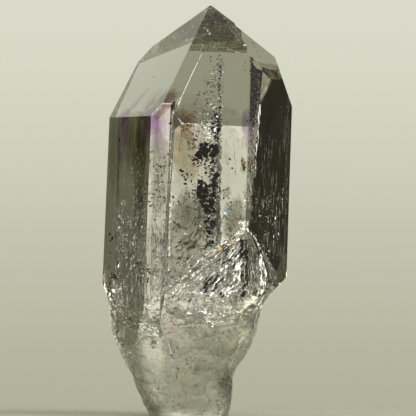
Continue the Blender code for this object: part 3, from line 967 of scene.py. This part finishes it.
    # the bright seam of the growth step on the point
    for i in range(210):
        t = glint.rnd.random()
        px, py = 201.4 + (177.4 - 201.4) * t, 55 + (107 - 55) * t
        glint.add(at(px + glint.rnd.uniform(-0.12, 0.12), py, 0, mm=glint.rnd.uniform(0.15, 0.3)),
                  (glint.rnd.gauss(0, 0.05), -0.94, 0.34 + glint.rnd.gauss(0, 0.05)),
                  0.025 + 0.03 * t * glint.rnd.random(), 0.05, glint.rnd.uniform(3, 6), (-23.8, 0.0, -57.0))
    for x0, y0, x1, y1, count in ((181, 124.2, 214, 126.5, 20), (152, 116.4, 163, 105, 26), (163, 104.8, 176, 104.8, 16),
                                  (173.7, 112, 172.2, 123, 14), (173.7, 112, 181.5, 123.5, 14), (225, 49, 249, 56, 14)):
        for _ in range(count):
            t = glint.rnd.random()
            glint.add(at(x0 + (x1 - x0) * t, y0 + (y1 - y0) * t, 0, mm=glint.rnd.uniform(0.2, 0.4)),
                      (glint.rnd.gauss(0, 0.06), -0.96, 0.25 + glint.rnd.gauss(0, 0.08)),
                      glint.rnd.uniform(0.03, 0.06), 0.05, glint.rnd.uniform(3, 6), (x1 - x0, 0, y0 - y1))
    for i in range(90):
        t = glint.rnd.random()
        glint.add(at(171.2 - 1.6 * t + glint.rnd.gauss(0, 0.3), 126 + 130 * t, 0, mm=glint.rnd.uniform(0.2, 0.6)),
                  (glint.rnd.gauss(0, 0.06), -1, 0.13 + glint.rnd.gauss(0, 0.05)),
                  glint.rnd.uniform(0.02, 0.05), 0.05, glint.rnd.uniform(4, 9), (0.04, 0, 1))
    # streaks on the front of the root
    for x0, y0, x1, y1, count, wide in ((144, 313, 162, 331, 130, 0.9), (158, 326, 165, 336, 30, 0.6), (118, 310, 146, 322, 190, 3.0),
                                        (124, 320, 156, 332, 420, 4.5), (169, 338, 173, 358, 30, 0.4), (206, 318, 218, 328, 36, 2.0),
                                        (230, 312, 252, 326, 60, 4.0), (190, 306, 236, 312, 90, 4.0), (128, 350, 140, 362, 16, 2.0)):
        for _ in range(count):
            t = glint.rnd.random()
            p = under_root(x0 + (x1 - x0) * t + glint.rnd.gauss(0, wide), y0 + (y1 - y0) * t + glint.rnd.gauss(0, wide), 0.5)
            side = glint.rnd.uniform(-0.44, -0.12) if p[0] < -5.5 else glint.rnd.choice((-0.17, 0.17))
            n = np.array([side + glint.rnd.gauss(0, 0.06), -1, -0.035 + glint.rnd.gauss(0, 0.08)])
            if within(p, 0.15):
                glint.add(p, n, glint.rnd.uniform(0.04, 0.17), 0.05, glint.rnd.uniform(1.2, 3), (x1 - x0, 0.3, y0 - y1))
    glint.build("bright_plates", grain_material("bright_plates", (0.80, 0.80, 0.76), (0.95, 0.95, 0.92), 1500, (0.10, 0.22), 1.0))

    # long thin growth tubes and steps that streak the sides
    streaks = Chips(23)
    lean = TURN @ np.array([0, 0, 1.0])
    streaks.scatter([(113, 140), (146, 130), (146, 300), (112, 305)], 200, (0.03, 0.08), (0.05, 0.7), thick=0.5, aspect=(8, 34), along=lean, margin=0.1)
    streaks.scatter([(150, 150), (176, 130), (176, 300), (150, 300)], 60, (0.02, 0.06), (0.05, 0.7), thick=0.5, aspect=(8, 30), along=lean, margin=0.1)
    streaks.scatter([(250, 140), (286, 130), (284, 262), (264, 250), (252, 220)], 150, (0.03, 0.08), (0.05, 0.7), thick=0.5, aspect=(8, 36), along=lean, margin=0.1)
    streaks.build("growth_tubes", gap, hollow=True)

    # the root is full of small breaks
    root = Chips(31)
    r = root.rnd
    made = 0
    while made < 1200:
        z = r.uniform(0.6, 17.5)
        if r.random() > 0.10 + 0.90 * min(1, max(0, z - 3) / 12):
            continue
        mid, left, right, front, back = level(z)
        a = r.uniform(0, math.tau)
        rr = math.sqrt(r.random()) * 0.95
        x = mid + math.cos(a) * rr * (right if math.cos(a) > 0 else left)
        y = math.sin(a) * rr * (back if math.sin(a) > 0 else front)
        p = np.array([x, y, z])
        if not within(p, 0.55):
            continue
        if noise.noise(Vector(p) * 0.35) < -0.12:
            continue
        n = np.array([r.gauss(0, 1), r.gauss(0, 1), r.gauss(0, 0.8)])
        root.add(p, n, 0.08 + 0.34 * r.random() ** 2.2, thin, r.uniform(1, 1.8))
        made += 1
    root.build("root_crackle", gap, hollow=True)


def make_specks():
    # painted shade: near-black opaque plates stand in for shade. They give the dark reflections seen in the middle
    # crack and the fan, and the dark strip along the right front edge of the point.
    dark = Chips(41)
    flat = dict(facing=0.6, thick=0.10, ragged=0.65, power=1.6, margin=0.1)
    dark.scatter([(201, 143), (206, 140), (209, 147), (218, 145), (218, 155), (205, 158), (197, 156)], 74, (0.14, 0.7), (0.1, 0.25), **flat)
    dark.scatter([(190, 160), (197, 154), (206, 154), (200, 166), (193, 170)], 24, (0.12, 0.42), (0.1, 0.25), **flat)
    dark.scatter([(197, 182), (206, 180), (208, 190), (216, 172), (216, 214), (206, 212), (197, 194)], 200, (0.12, 0.6), (0.1, 0.3), **flat)
    dark.scatter([(204, 160), (217, 160), (217, 174), (206, 178)], 40, (0.10, 0.4), (0.1, 0.3), **flat)
    dark.scatter([(206, 208), (216, 208), (213, 248), (206, 246)], 90, (0.12, 0.45), (0.1, 0.35), **flat)
    dark.scatter([(218, 66), (221, 66), (221, 130), (218, 130)], 70, (0.10, 0.32), (0.1, 0.3), **flat)
    dark.scatter([(209, 114), (214, 110), (220, 120), (212, 122)], 20, (0.15, 0.45), (0.1, 0.25), **flat)
    dark.scatter([(212, 128), (219, 128), (219, 140), (214, 138)], 22, (0.15, 0.45), (0.1, 0.25), **flat)
    dark.scatter([(180, 168), (190, 170), (202, 196), (186, 200)], 40, (0.08, 0.35), (0.1, 0.25), **flat)
    dark.scatter([(200, 74), (216, 70), (218, 128), (192, 126), (196, 100)], 60, (0.06, 0.22), (0.1, 0.3), **flat)
    dark.scatter([(152, 160), (166, 168), (168, 200), (154, 196)], 26, (0.08, 0.26), (0.1, 0.25), **flat)
    dark.scatter([(250, 58), (258, 66), (257, 126), (250, 128)], 360, (0.05, 0.20), (0.02, 0.10), thick=0.2, margin=0.1)
    dark.scatter([(139, 196), (143, 196), (146, 208), (141, 208)], 10, (0.1, 0.3), (0.1, 0.2), **flat)
    dark.scatter([(137, 262), (142, 262), (142, 284), (138, 284)], 26, (0.1, 0.3), (0.05, 0.2), **flat)
    onto = dict(facing=0.75, thick=0.08, ragged=0.6, power=1.8, margin=0.1, aspect=(1.3, 3.5), along=(-0.62, 0.15, -0.78), place=on_fan)
    dark.scatter([(240, 240), (245, 240), (245, 298), (240, 298)], 50, (0.10, 0.40), (0.1, 0.5), **onto)
    dark.scatter([(247, 240), (252, 242), (258, 262), (257, 300), (246, 300)], 36, (0.10, 0.40), (0.05, 0.2), **flat)
    dark.scatter([(206, 276), (222, 272), (221, 294), (202, 292)], 54, (0.06, 0.30), (0.3, 0.8), **onto)
    dark.scatter([(222, 244), (236, 240), (236, 270), (214, 268)], 54, (0.05, 0.22), (0.3, 0.8), **onto)
    dark.scatter([(228, 236), (238, 234), (226, 250), (218, 250)], 30, (0.05, 0.22), (0.3, 0.8), **onto)
    dark.scatter([(266, 262), (282, 276), (276, 286), (262, 296)], 30, (0.06, 0.24), (0.05, 0.2), **flat)
    dark.build("painted_shade_plates", grain_material("painted_shade_plates", (0.002, 0.002, 0.002), (0.016, 0.015, 0.012), 3000, (0.15, 0.5), 0.0, 0.2))

    black = Chips(43)
    for px, py, size in ((171, 124, 0.14), (119.5, 140, 0.18), (255, 93, 0.14), (110, 234, 0.20), (112.5, 238, 0.22),
                         (111, 241, 0.20), (116, 237, 0.18), (138, 240.5, 0.18), (117.5, 263, 0.20), (130.5, 319, 0.22),
                         (154, 77, 0.13), (137, 249, 0.12), (141, 262, 0.18), (219.5, 56, 0.13), (210, 58, 0.12), (210.4, 61, 0.11),
                         (272, 107, 0.10), (229.5, 160, 0.16), (232, 168, 0.14), (228, 164, 0.10)):
        for _ in range(3):
            p = at(px + black.rnd.uniform(-0.6, 0.6), py + black.rnd.uniform(-0.9, 0.9), 0.03)
            black.add(p, (black.rnd.gauss(0, 0.5), -1, black.rnd.gauss(0, 0.5)), size, 0.45, 1.2)
    black.build("black_specks", grain_material("black_specks", (0.002, 0.002, 0.002), (0.02, 0.018, 0.016), 4000, (0.3, 0.7)))

    grey = Chips(44)
    for px, py, size in ((110.3, 253, 0.24), (221, 33, 0.26), (227, 31, 0.22), (224, 35, 0.18), (211, 57, 0.14),
                         (245, 63, 0.12), (243.5, 67, 0.12), (244.5, 71, 0.12), (252, 44, 0.12), (254.5, 48, 0.11), (257, 52, 0.12), (259, 57, 0.10)):
        grey.add(at(px, py, 0.04), (grey.rnd.gauss(0, 0.4), -1, 0.3), size, 0.3, 1.1)
    grey.build("grey_smudges", grain_material("grey_smudges", (0.06, 0.07, 0.065), (0.16, 0.17, 0.16), 4000, (0.3, 0.7)))

    teal = Chips(46)
    for px, py, size in ((206.5, 17, 0.38), (209.0, 17.2, 0.36), (207.8, 19.6, 0.30)):
        teal.add(at(px, py, 0.25), (0, -1, 0.5), size, 0.2, 1.2, (1, 0, 0))
    teal.build("teal_spot", grain_material("teal_spot", (0.012, 0.035, 0.05), (0.05, 0.085, 0.095), 5000, (0.3, 0.6)))

    rust = Chips(47)
    rust.scatter([(181, 113), (195, 115), (195, 124), (182, 124)], 80, (0.05, 0.22), (0.1, 0.3), facing=0.3, thick=0.3)
    rust.scatter([(178, 126), (188, 128), (196, 142), (194, 158), (186, 140)], 50, (0.04, 0.16), (0.08, 0.25), facing=0.3, thick=0.3)
    rust.scatter([(240.5, 159), (245, 159), (245.5, 173), (241.5, 173)], 30, (0.08, 0.22), (0.1, 0.25), facing=0.5, thick=0.3)
    rust.scatter([(223, 188), (229, 187), (229, 199), (223, 200)], 20, (0.08, 0.2), (0.1, 0.25), facing=0.5, thick=0.3)
    rust.scatter([(228, 226), (235, 226), (234, 232), (228, 232)], 12, (0.08, 0.2), (0.1, 0.25), facing=0.5, thick=0.3)
    rust.scatter([(198, 158), (212, 160), (214, 210), (200, 206)], 60, (0.05, 0.20), (0.05, 0.11), facing=0.5, thick=0.3)
    rust.scatter([(218.5, 38), (219.5, 38), (219.5, 39.5), (218.5, 39.5)], 2, (0.08, 0.1), (0.1, 0.12), facing=0.5, thick=0.3)
    for px, py in ((272, 65), (271, 182), (122, 116), (150.5, 103)):
        rust.add(at(px, py, 0.04), (0, -1, 0), 0.12, 0.3, 1.1)
    rust.build("rust_grains", grain_material("rust_grains", (0.10, 0.035, 0.008), (0.50, 0.22, 0.05), 2500, (0.4, 0.8)))

    # painted light: pale opaque plates under the right tip face and along the lower left edge. Their colour stands in
    # for the brightness seen through the faces there.
    painted_light_chips = Chips(71)
    tip_facing = (0, -0.94, 0.34)
    painted_light_chips.plate([at(x, y, 0, mm=0.35) for x, y in ((262.5, 72), (270.3, 80), (265.5, 92), (260.5, 103), (260.8, 88))], (0.1, -0.79, 0.61), 0.05, 0.08)
    painted_light_chips.plate([at(x, y, 0, mm=0.35) for x, y in ((251.5, 62), (254, 60), (262, 68), (262, 71.5), (256, 69))], (0.1, -0.79, 0.61), 0.05, 0.05)
    painted_light_chips.plate([keep_inside(at(x, y, 0, mm=0.4), np.array([-8.0, -3.0, 24.0]), -0.31, 0.985) for x, y in ((104.6, 270), (105.2, 263), (106.8, 268), (108, 280), (108, 290), (105.2, 284))], (-0.87, -0.5, 0), 0.05, 0.05)
    painted_light_chips.build("painted_light_plates", grain_material("painted_light_plates", (0.40, 0.39, 0.25), (0.62, 0.60, 0.44), 2200, (0.4, 0.7)))
    # painted light and shade: olive plates under the step seam and at the right shoulder of the root. Their colour
    # stands in for the mid-tone seen through the faces there, in place of a dark seam and a bright shoulder reflection.
    olive = Chips(72)
    olive.plate([at(x, y, 0, mm=0.45) for x, y in ((174, 113), (177, 112.5), (180.6, 123.0), (176.3, 128.5), (173.4, 124))], (-0.4, -0.8, 0.45), 0.05, 0.06)
    corner = np.array([9.0, -3.0, 20.8])
    olive.plate([keep_inside(at(x, y, 0, mm=0.4), corner, -0.31, 0.985) for x, y in ((280, 262), (282, 254), (284.4, 252), (286, 254), (286, 268), (286, 277), (284, 283), (277, 283), (276.5, 275), (278, 268))], (0.87, -0.5, 0), 0.05, 0.04)
    olive.build("olive_painted_light_and_shade", grain_material("olive_painted_light_and_shade", (0.10, 0.10, 0.06), (0.19, 0.185, 0.12), 2200, (0.35, 0.6)))
    tan = Chips(73)
    tan.plate([at(x, y, 0, mm=0.4) for x, y in ((263.5, 69.5), (275.5, 70.5), (280.5, 80), (272, 80.5))], (0.5, -0.7, 0.5), 0.05, 0.08)
    tan.scatter([(257.5, 74), (261.5, 72), (260, 104), (257, 112)], 60, (0.08, 0.26), (0.02, 0.06), facing=0.8, thick=0.2, toward=tip_facing)
    tan.scatter([(250.5, 60), (257, 66), (256, 124), (251, 127)], 60, (0.06, 0.22), (0.02, 0.08), facing=0.7, thick=0.2, toward=tip_facing)
    tan.scatter([(222, 17), (226, 18), (236, 29), (233, 32), (225, 25)], 80, (0.06, 0.18), (0.1, 0.5), facing=0.6, thick=0.2, toward=tip_facing)
    tan.scatter([(284.5, 120), (290.5, 118), (289, 250), (285, 250)], 60, (0.08, 0.30), (0.05, 0.3), facing=0.8, thick=0.1, aspect=(3, 12), along=(0.04, 0, 1), toward=(0.44, -0.9, 0.1))
    tan.scatter([(221, 44), (226, 41), (240, 36), (240, 39), (228, 44)], 36, (0.05, 0.16), (0.05, 0.2), facing=0.7, thick=0.1, toward=tip_facing)
    tan.build("tan_films", grain_material("tan_films", (0.05, 0.034, 0.022), (0.26, 0.19, 0.13), 2200, (0.4, 0.7)))
    violet = Chips(79)
    violet.scatter([(213, 9), (217, 10), (228, 20), (225, 24), (216, 15)], 110, (0.06, 0.20), (0.1, 0.5), facing=0.6, thick=0.2, toward=tip_facing)
    violet.scatter([(250.5, 62), (256, 70), (255, 126), (250.5, 127)], 90, (0.05, 0.20), (0.02, 0.08), facing=0.7, thick=0.2, toward=tip_facing)
    violet.build("violet_grains", grain_material("violet_grains", (0.018, 0.008, 0.028), (0.12, 0.06, 0.16), 2600, (0.4, 0.7)))

    red = Chips(53)
    for px, py in ((109.5, 266), (109, 268), (106, 283)):
        red.add(at(px, py, 0, mm=0.22), (-0.86, -0.5, 0), 0.17, 0.12, 1.6, (0, 0, 1))
    red.build("red_specks", grain_material("red_specks", (0.12, 0.01, 0.012), (0.32, 0.03, 0.03), 3000, (0.4, 0.7)))

    # colours of thin films where the fan meets the clear quartz
    amber = Chips(59)
    amber.scatter([(240, 232), (234, 236), (210, 251), (212, 255), (236, 241)], 60, (0.04, 0.13), (0.5, 0.9), facing=0.88, toward=(0, -1, 0.13), thick=0.06, aspect=(1.5, 4), along=(-1, 0.3, -0.62), place=on_fan)
    amber.build("amber_films", grain_material("amber_films", (0.80, 0.50, 0.26), (0.92, 0.76, 0.56), 1500, (0.12, 0.25), 1.0))
    blue = Chips(61)
    blue.scatter([(223.5, 210), (228, 209), (228.5, 214), (224, 214.5)], 7, (0.10, 0.24), (0.1, 0.2), facing=0.8, toward=(0, -1, 0.1), thick=0.06)
    blue.build("blue_films", grain_material("blue_films", (0.20, 0.50, 0.95), (0.55, 0.80, 1.0), 1500, (0.12, 0.25), 1.0))

    # milky healed cracks in the root
    milk = grain_material("milky_films", (0.62, 0.63, 0.58), (0.93, 0.93, 0.90), 1800, (0.4, 0.7))
    films = []
    for (x0, y0, x1, y1, wide, seed) in ((144, 313, 152, 322, 0.22, 1.0), (150, 320, 162, 329, 0.30, 2.0), (158, 326, 164, 334, 0.20, 3.0),
                                         (169.5, 338, 173, 350, 0.16, 4.0), (172.5, 348, 173.5, 358, 0.12, 5.0),
                                         (120, 318, 138, 324, 0.16, 6.0), (188, 356, 200, 352, 0.10, 7.0), (206, 364, 224, 357, 0.08, 8.0),
                                         (224, 357, 235, 360, 0.08, 9.0), (135, 372, 151, 402, 0.10, 10.0), (136, 372, 158, 406, 0.08, 11.0),
                                         (142, 376, 166, 408, 0.08, 12.0), (134, 362, 146, 388, 0.08, 13.0), (206, 322, 216, 326, 0.14, 14.0)):
        a, b = under_root(x0, y0, 0.35), under_root(x1, y1, 0.35)
        across = np.cross(b - a, [0, 1, 0.0])
        across /= np.linalg.norm(across)

        def f(u, v, a=a, b=b, across=across, wide=wide, seed=seed):
            c = a + (b - a) * v
            w = wide * (0.5 + 0.9 * abs(noise.noise(Vector((v * 5, seed, 0.2)))))
            bend = 0.35 * noise.noise(Vector((v * 2.2, seed, 4.0))) + 0.12 * noise.noise(Vector((v * 9, seed, 6.0)))
            p = c + across * ((u - 0.5) * 2 * w + bend) + np.array([0, 0.2, 0]) * noise.noise(Vector((u * 3, v * 6, seed)))
            while p[1] < 0 and not within(p, 0.2):
                p = p + np.array([0, 0.1, 0])
            return p
        films.append(sheet_arrays(f, 6, 40, 0.06))
    build_sheets("milky_films", films, milk)
    cloud = Chips(83)
    for polygon, count in (([(112, 312), (150, 310), (168, 330), (158, 342), (122, 342)], 900), ([(150, 316), (252, 316), (246, 336), (168, 338)], 260),
                           ([(113, 335), (128, 335), (152, 405), (139, 405)], 260), ([(222, 365), (240, 365), (233, 410), (216, 410)], 120)):
        cloud.scatter(polygon, count, (0.06, 0.34), (-1.6, -0.1), facing=0.65, thick=0.10, margin=0.1, toward=(-0.15, -0.5, 0.85), place=under_root, clump=0.4, clump_scale=7)
    r = cloud.rnd
    made = 0
    while made < 1500:
        z = r.uniform(0.8, 16.5)
        mid, wl, wr, wf, wb = level(z)
        a = r.uniform(0, math.tau)
        rr = math.sqrt(r.random()) * 0.97
        p = np.array([mid + math.cos(a) * rr * (wr if math.cos(a) > 0 else wl), math.sin(a) * rr * (wb if math.sin(a) > 0 else wf), z])
        if not within(p, 0.3) or noise.noise(Vector(p) * 0.3 + Vector((3, 1, 2))) < -0.15 + r.uniform(-0.1, 0.1):
            continue
        cloud.add(p, (r.gauss(0, 1), r.gauss(0, 1), r.gauss(0, 1)), 0.03 + 0.12 * r.random() ** 2, 0.12, r.uniform(1, 3.5))
        made += 1
    cloud.build("milky_chips", milk)


# ------------------------------------------------------------------ studio

def make_floor():
    bm = bmesh.new()
    bmesh.ops.create_grid(bm, x_segments=24, y_segments=24, size=0.1)
    mesh = bpy.data.meshes.new("studio_floor")
    bm.to_mesh(mesh)
    bm.free()
    floor = link(bpy.data.objects.new("studio_floor", mesh))
    floor.location = (0, 0, -0.00003)
    mat, nt, bsdf, out = new_material("floor_pale")
    N, L = nt.nodes.new, nt.links.new
    bsdf.inputs["Base Color"].default_value = (0.60, 0.60, 0.50, 1)
    bsdf.inputs["Roughness"].default_value = 0.9
    bsdf.inputs["Specular IOR Level"].default_value = 0.1
    coord = N("ShaderNodeTexCoord")
    length = N("ShaderNodeVectorMath")
    length.operation = 'LENGTH'
    L(coord.outputs["Object"], length.inputs[0])
    fade = N("ShaderNodeMapRange")
    fade.interpolation_type = 'SMOOTHSTEP'
    fade.inputs["From Min"].default_value = 0.030
    fade.inputs["From Max"].default_value = 0.080
    fade.inputs["To Min"].default_value = 1.0
    fade.inputs["To Max"].default_value = 0.0
    L(length.outputs["Value"], fade.inputs["Value"])
    L(fade.outputs["Result"], bsdf.inputs["Alpha"])
    mesh.materials.append(mat)


def srgb(r, g, b):
    out = []
    for v in (r, g, b):
        v /= 255.0
        out.append(v / 12.92 if v <= 0.04045 else ((v + 0.055) / 1.055) ** 2.4)
    return (*out, 1)


def make_world():
    """Pale backdrop with a soft gradient; between the four soft panels the room is dark, so
    the see-through faces get their contrast."""
    world = bpy.data.worlds.new("studio")
    bpy.context.scene.world = world
    world.use_nodes = True
    nt = world.node_tree
    N, L = nt.nodes.new, nt.links.new
    bg = nt.nodes["Background"]
    coord = N("ShaderNodeTexCoord")
    sep = N("ShaderNodeSeparateXYZ")
    L(coord.outputs["Generated"], sep.inputs[0])

    def math_node(op, a, b=None, c=None):
        n = N("ShaderNodeMath")
        n.operation = op
        for i, v in enumerate((a, b, c)):
            if v is None:
                continue
            if isinstance(v, (int, float)):
                n.inputs[i].default_value = v
            else:
                L(v, n.inputs[i])
        return n.outputs[0]

    def ramp(value, lo, hi, a=0.0, b=1.0):
        n = N("ShaderNodeMapRange")
        n.interpolation_type = 'SMOOTHSTEP'
        n.inputs["From Min"].default_value = lo
        n.inputs["From Max"].default_value = hi
        n.inputs["To Min"].default_value = a
        n.inputs["To Max"].default_value = b
        L(value, n.inputs["Value"])
        return n.outputs["Result"]

    def mix(fac, a, b):
        n = N("ShaderNodeMix")
        n.data_type = 'RGBA'
        if isinstance(fac, (int, float)):
            n.inputs[0].default_value = fac
        else:
            L(fac, n.inputs[0])
        for i, v in ((6, a), (7, b)):
            if isinstance(v, tuple):
                n.inputs[i].default_value = v
            else:
                L(v, n.inputs[i])
        return n.outputs[2]

    x, y, z = sep.outputs["X"], sep.outputs["Y"], sep.outputs["Z"]
    elev = math_node('MULTIPLY', math_node('ARCSINE', z), 180 / math.pi)
    ang = math_node('MULTIPLY', math_node('ARCTAN2', x, y), 180 / math.pi)
    turn = math_node('PINGPONG', ang, 90.0)      # 0 along the view's axis, 90 to the sides
    hand = math_node('SINE', math_node('MULTIPLY', ang, math.pi / 90))
    right = ramp(hand, -0.35, 0.35)
    backdrop = mix(ramp(elev, -1.6, 1.5), srgb(176, 176, 153), srgb(218, 219, 202))
    behind = ramp(math_node('COSINE', math_node('MULTIPLY', ang, math.pi / 180)), -0.3, 0.3)
    glow = mix(behind, srgb(158, 157, 146), srgb(242, 240, 224))
    dark = mix(right, srgb(28, 28, 21), srgb(108, 108, 88))
    gloom = mix(behind, srgb(16, 16, 13), srgb(124, 125, 106))
    upper = srgb(150, 150, 138)
    top = srgb(238, 238, 226)
    ends = ramp(turn, 20.0, 29.0, 1.0, 0.0)
    flanks = ramp(turn, 67.0, 76.0, 0.0, 1.0)
    panel = math_node('MAXIMUM', ends, flanks)
    side = mix(ramp(elev, 24.0, 52.0), dark, upper)
    panel_high = mix(ramp(elev, 26.0, 40.0), glow, upper)
    room = mix(panel, side, panel_high)
    room = mix(ramp(elev, 52.0, 72.0), room, top)
    # the table below, as the crystal sees it
    table = mix(ramp(turn, 12.0, 36.0), srgb(152, 152, 130), mix(right, srgb(150, 153, 134), srgb(163, 165, 149)))
    table = mix(ramp(turn, 48.0, 56.0), table, gloom)
    table = mix(flanks, table, srgb(170, 170, 145))
    room = mix(ramp(elev, -5.0, -13.0), room, table)

    def softbox(base, direction, inner, outer, value):
        d = Vector(direction).normalized()
        dot = N("ShaderNodeVectorMath")
        dot.operation = 'DOT_PRODUCT'
        L(coord.outputs["Generated"], dot.inputs[0])
        dot.inputs[1].default_value = d
        return mix(ramp(dot.outputs["Value"], math.cos(math.radians(outer)), math.cos(math.radians(inner))),
                   base, value)

    room = softbox(room, (-0.54, 0.70, 0.476), 10, 17, (1.30, 1.31, 1.06, 1))
    room = softbox(room, (0.0, -0.24, 0.97), 13, 20, (0.62, 0.62, 0.54, 1))
    # a wide, low panel above and behind the camera
    over = math_node('MULTIPLY', ramp(elev, 3.5, 7.0), ramp(elev, 32.0, 24.0))
    over = math_node('MULTIPLY', over, ramp(math_node('ABSOLUTE', ang), 142.0, 154.0))
    room = mix(over, room, (2.0, 1.97, 1.84, 1))
    room = softbox(room, (-0.93, -0.30, 0.20), 7, 10, (2.6, 2.55, 2.4, 1))
    path = N("ShaderNodeLightPath")
    seen = mix(path.outputs["Is Camera Ray"], room, backdrop)
    L(seen, bg.inputs["Color"])
    bg.inputs["Strength"].default_value = 1.0


def make_light():
    data = bpy.data.lights.new("soft_top_front", 'AREA')
    data.shape = 'DISK'
    data.size = 0.30
    data.energy = 1.6
    data.color = (1.0, 0.98, 0.92)
    lamp = link(bpy.data.objects.new("soft_top_front", data))
    lamp.location = (0.36, -0.34, 0.30)
    lamp.rotation_euler = (Vector((0, 0, 0.03)) - lamp.location).to_track_quat('-Z', 'Y').to_euler()


def make_camera():
    data = bpy.data.cameras.new("photo_camera")
    cam = link(bpy.data.objects.new("photo_camera", data))
    data.sensor_width = 36.0
    data.lens = 800.0
    distance = 0.0624 * data.lens / data.sensor_width
    cam.location = (0.0027, 0.0005 - distance, 0.0311)
    cam.rotation_euler = (math.radians(90), 0, 0)
    data.clip_start = 0.05
    data.clip_end = 20.0
    bpy.context.scene.camera = cam


def settings():
    scene = bpy.context.scene
    scene.view_settings.view_transform = 'Standard'
    scene.view_settings.look = 'None'
    scene.view_settings.exposure = 0.0
    scene.view_settings.gamma = 1.0
    cy = scene.cycles
    cy.max_bounces = 24
    cy.transmission_bounces = 22
    cy.glossy_bounces = 12
    cy.diffuse_bounces = 3
    cy.transparent_max_bounces = 16
    cy.volume_bounces = 0
    cy.caustics_refractive = True
    cy.caustics_reflective = True
    cy.blur_glossy = 0.2
    cy.sample_clamp_indirect = 8.0
    cy.use_denoising = True
    cy.denoiser = 'OPENIMAGEDENOISE'


def main():
    body = make_crystal()
    body.data.materials.clear()
    body.data.materials.append(quartz_material())
    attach(body, "root")
    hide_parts("crystal")
    make_phantom()
    make_fractures()
    make_specks()
    make_floor()
    make_world()
    make_light()
    make_camera()
    settings()
    print("quartz_body triangles:", sum(len(p.vertices) - 2 for p in body.data.polygons))


main()
